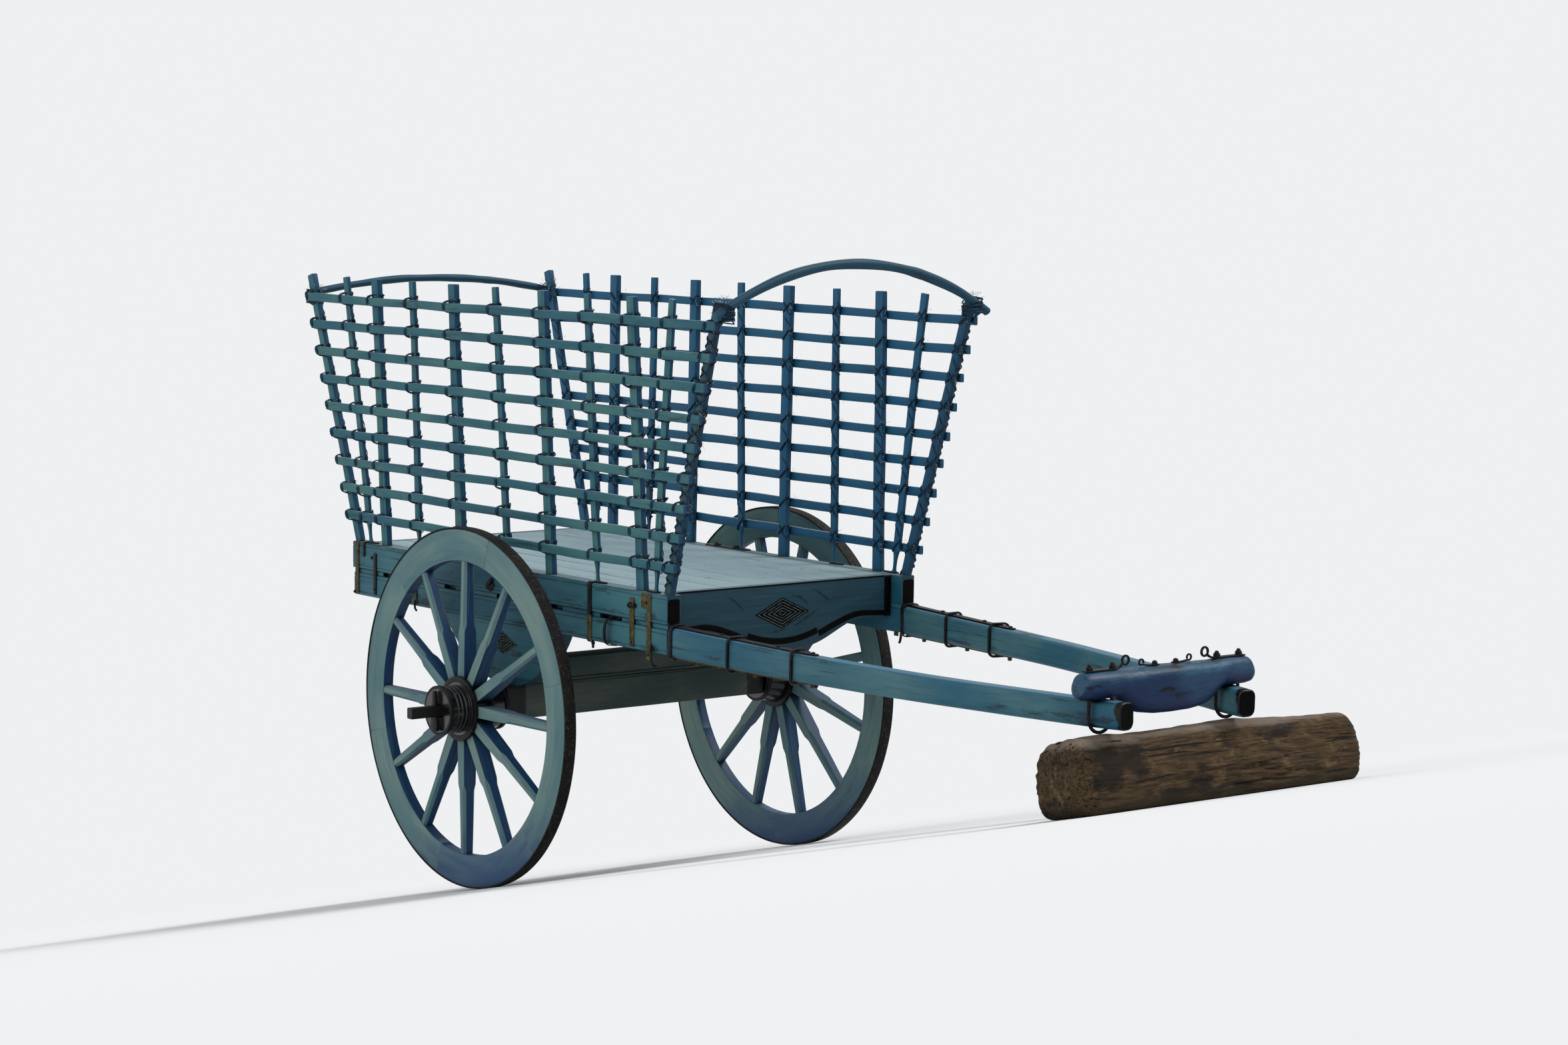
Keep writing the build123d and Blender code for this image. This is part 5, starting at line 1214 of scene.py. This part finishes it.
def strap(side, x, low, high, wide, seed, over, under):
    """A flat iron up the rails' faces at x, from one height to the other. over bends its top on to the deck
    and under bends its foot below the rail, each by that length."""
    y = IRON_Y
    points = line((x, y, low), (x, y, high), 8)
    if over:
        points = np.concatenate([points, [(x, y - 0.004, FLAT_Z), (x, y - over, DECK_Z + 0.0032)]])
    if under:
        points = np.concatenate([[(x, y - under, RAIL_UNDER), (x, y - 0.004, RAIL_UNDER)], points])
    return flat_iron(points * (1, side, 1), wide, 0.005, (0, side, 0.01), seed)


for side, word in SIDES:
    flip = np.array([1, side, 1])
    out = (0, side, 0)
    rusted = [strap(side, *sizes) for sizes in RUSTED_STRAPS]
    plate = line((0.9640, IRON_Y, 1.2885), (1.0015, IRON_Y, 1.2885), 4)
    rusted.append(flat_iron(plate * flip, 0.060, 0.005, out, 706))
    build(f"rusted_irons_{word}", rusted, strap_rust, f"side_straps_{word}")
    black = [strap(side, *sizes) for sizes in BLACK_STRAPS]
    black.append(flat_iron(np.array(BENT_BAR) * flip, 0.0042, 0.016, (1, 0, 0), 713))
    staple_plate = np.array([(-0.035, 0), (0, 0.028), (0.035, 0), (0, -0.028)])
    path = [(STAPLE_X, side * (FACE_Y - 0.0004), STAPLE_Z), (STAPLE_X, side * (FACE_Y + 0.0030), STAPLE_Z)]
    black.append(hewn(path, staple_plate[None], (1, 0, 0), seed=714))
    black.append(stud((-0.105, side * IRON_Y, 1.256), out, 0.026, 0.012, 715, 12, 0.8))
    ring = arc((STAPLE_X, FACE_Y + 0.012, 1.230), 0.011, 0.4, 0.4 + 1.7 * pi, 14, (0, 2))
    black.append(rod(ring * flip, 0.0028, 716, 6, (0, 1, 0)))
    edge_plate = line((-0.245, EDGE_Y, FLAT_Z), (0.045, EDGE_Y, FLAT_Z), 14)
    black.append(hewn(edge_plate * flip, corners(0.034, 0.005, 0.0015, 3), out, 0.001, 0.0007, 717, 14))
    shank = np.array([(*STRAP_BOLT, 1.086), (*STRAP_BOLT, 1.055)])
    black.append(rod(shank * flip, 0.0055, 718))
    black.append(stud((*(STRAP_BOLT * flip[:2]), 1.0795), (0, 0, -1), 0.017, 0.010, 719, 6, 0.2))
    for points, radius, seed in HOOK_RODS:
        black.append(rod((np.array(points) + (0, PROUD_Y, 0)) * flip, radius, seed))
    pivot = np.array([(0.893, PROUD_Y + 0.006, 1.262), (0.926, PROUD_Y + 0.002, 1.262)])
    black.append(rod(pivot * flip, 0.0085, 722, 10, (0, 0, 1)))
    for x, z, wide, tall, face_y in RAIL_BOLTS:
        black.append(stud((x, side * face_y, z), out, wide, tall, 725, 10, 0.8))
    for x in (-0.176, -0.039):
        black.append(stud((x, side * EDGE_Y, DECK_Z + 0.005), (0, 0, 1), 0.034, 0.014, 730, 14, 0.85))
    build(f"black_irons_{word}", black, iron)
    end_black = hewn([(1.1296, side * 0.602, 1.2575), (1.1308, side * 0.602, 1.2575)],
                     corners(0.058, 0.098, 0.012, 4), (0, 1, 0), seed=735)
    build(f"rail_end_black_{word}", [end_black], carving_paint)
nails = []
for i, y in enumerate(plank_middles):
    for x, _ in SLOTS:
        for aside in (-0.042, 0.042):
            at = (x + 0.012 * (-1) ** i, y + aside, DECK_Z - 0.0004)
            nails.append(stud(at, (0, 0, 1), 0.0062, 0.0010, 730 + i, 6, 0.6))
build("deck_nails", nails, iron)

# Log: an old squared baulk across under the shafts, its arrises weathered round, grey and split on top and
# brown and fibrous on its sides. It lies on the floor, so it isn't tipped with the cart.
LOG_X = 3.1885 + axle_at[0]
LOG_OUTLINE = [(-0.140, 0.0), (0.136, 0.0), (0.158, 0.110), (0.138, 0.226), (0.096, 0.280), (-0.062, 0.280),
               (-0.126, 0.246), (-0.160, 0.130)]
LOG_ENDS = (-0.498, 0.908)
AROUND, ALONG = 140, 190


def unparked(points):
    """The level points that parked() puts at these places."""
    return (np.asarray(points) - [axle_at[0], 0, axle_at[2]]) @ TIPPED + [0, 0, HUB_Z]


outline = rounded(LOG_OUTLINE, 0.034, 5)
step = np.linalg.norm(np.roll(outline, -1, 0) - outline, axis=1)
at = np.concatenate([[0], np.cumsum(step)])
even = np.linspace(0, at[-1], AROUND + 1)[:-1]
closed_outline = np.concatenate([outline, outline[:1]])
outline = np.stack([np.interp(even, at, closed_outline[:, k]) for k in (0, 1)], -1)
y = np.linspace(*LOG_ENDS, ALONG)
y = np.concatenate([[y[0], y[0] + 0.0015], y[1:-1], [y[-1] - 0.0015, y[-1]]])
middle = outline.mean(0)
from_end = np.minimum((y - LOG_ENDS[0]) / 0.075, (LOG_ENDS[1] - y) / 0.045)
worn_end = 1 - 0.26 * (1 - np.clip(from_end, 0, 1)) ** 2.2
worn_end[[0, -1]] *= 0.93
rings = middle + (outline - middle)[None] * worn_end[:, None, None]
points = np.stack([rings[..., 0], np.broadcast_to(y[:, None], rings.shape[:2]), rings[..., 1]], -1)
long_way = points * (1, 0.10, 1)
fibres = 0.0042 * ripple(long_way, 75, 801) + 0.0022 * ripple(long_way, 190, 802)
fibres += 0.007 * ripple(points, 9, 803)
split = np.exp(-(ripple(points * (1, 0.12, 1), 17, 804) / 0.045) ** 2) * (ripple(points, 5, 805) > -0.2)
inward = np.clip(0.006 + fibres, 0, None) + 0.011 * split
near_shaft = np.exp(-((np.abs(points[..., 1]) - 0.315) / 0.05) ** 4)
on_top = np.clip((points[..., 2] - 0.270) / 0.01, 0, 1) * near_shaft
under = np.clip(1 - points[..., 2] / 0.01, 0, 1)
inward *= (1 - on_top) * (1 - under)
aim_in = np.concatenate([middle[:1], [0], middle[1:]]) - points * (1, 0, 1)
aim_in /= np.linalg.norm(aim_in, axis=-1)[..., None]
points = points + aim_in * inward[..., None] + (LOG_X, 0, 0)
grain = np.stack([points[..., 1], points[..., 0], points[..., 2]], -1)
points[..., 2] *= 1 - 0.105 * np.clip((points[..., 1] - 0.38) / 0.52, 0, 1)
log_wood, w, flow = grained("weathered_log")
height = w.place(2)
threads = flow.noise(110, (0.10, 1, 1), 6, 0.72)
bands = flow.noise(22, (0.25, 1, 1), 5, 0.65)
rot = flow.noise(7, (0.5, 1, 1), 5, 0.6)
colour = threads.between(0.32, 0.66).mix(tone(27, 20, 12), tone(80, 62, 40))
ochre = flow.noise(15, (0.6, 1, 1), 6, 0.72).between(0.53, 0.66)
colour = (ochre * 0.55).mix(colour, tone(108, 90, 60))
colour = (bands.between(0.50, 0.66) * 0.6).mix(colour, tone(42, 33, 21))
colour = (rot.between(0.50, 0.62) * 0.85).mix(colour, tone(15, 11, 7))
top_grey = (height + threads * 0.03 + (rot - 0.5) * 0.06).between(0.245, 0.275)
colour = (top_grey * 0.8).mix(colour, tone(118, 106, 94))
# Darker towards the bottom.
darker_low = 1 - (height + bands * 0.05).between(0.03, 0.09)
colour = (darker_low * 0.7).mix(colour, tone(44, 38, 24))
crack = flow.noise(60, (0.03, 1, 1), 3, 0.5).between(0.62, 0.66)
colour = crack.mix(colour, tone(18, 13, 10))
shade(w, colour, 0.88, threads - crack * 0.8, 0.004)
build("log_baulk", [shell(unparked(points), grain)], log_wood, "rest_log", crease=50)
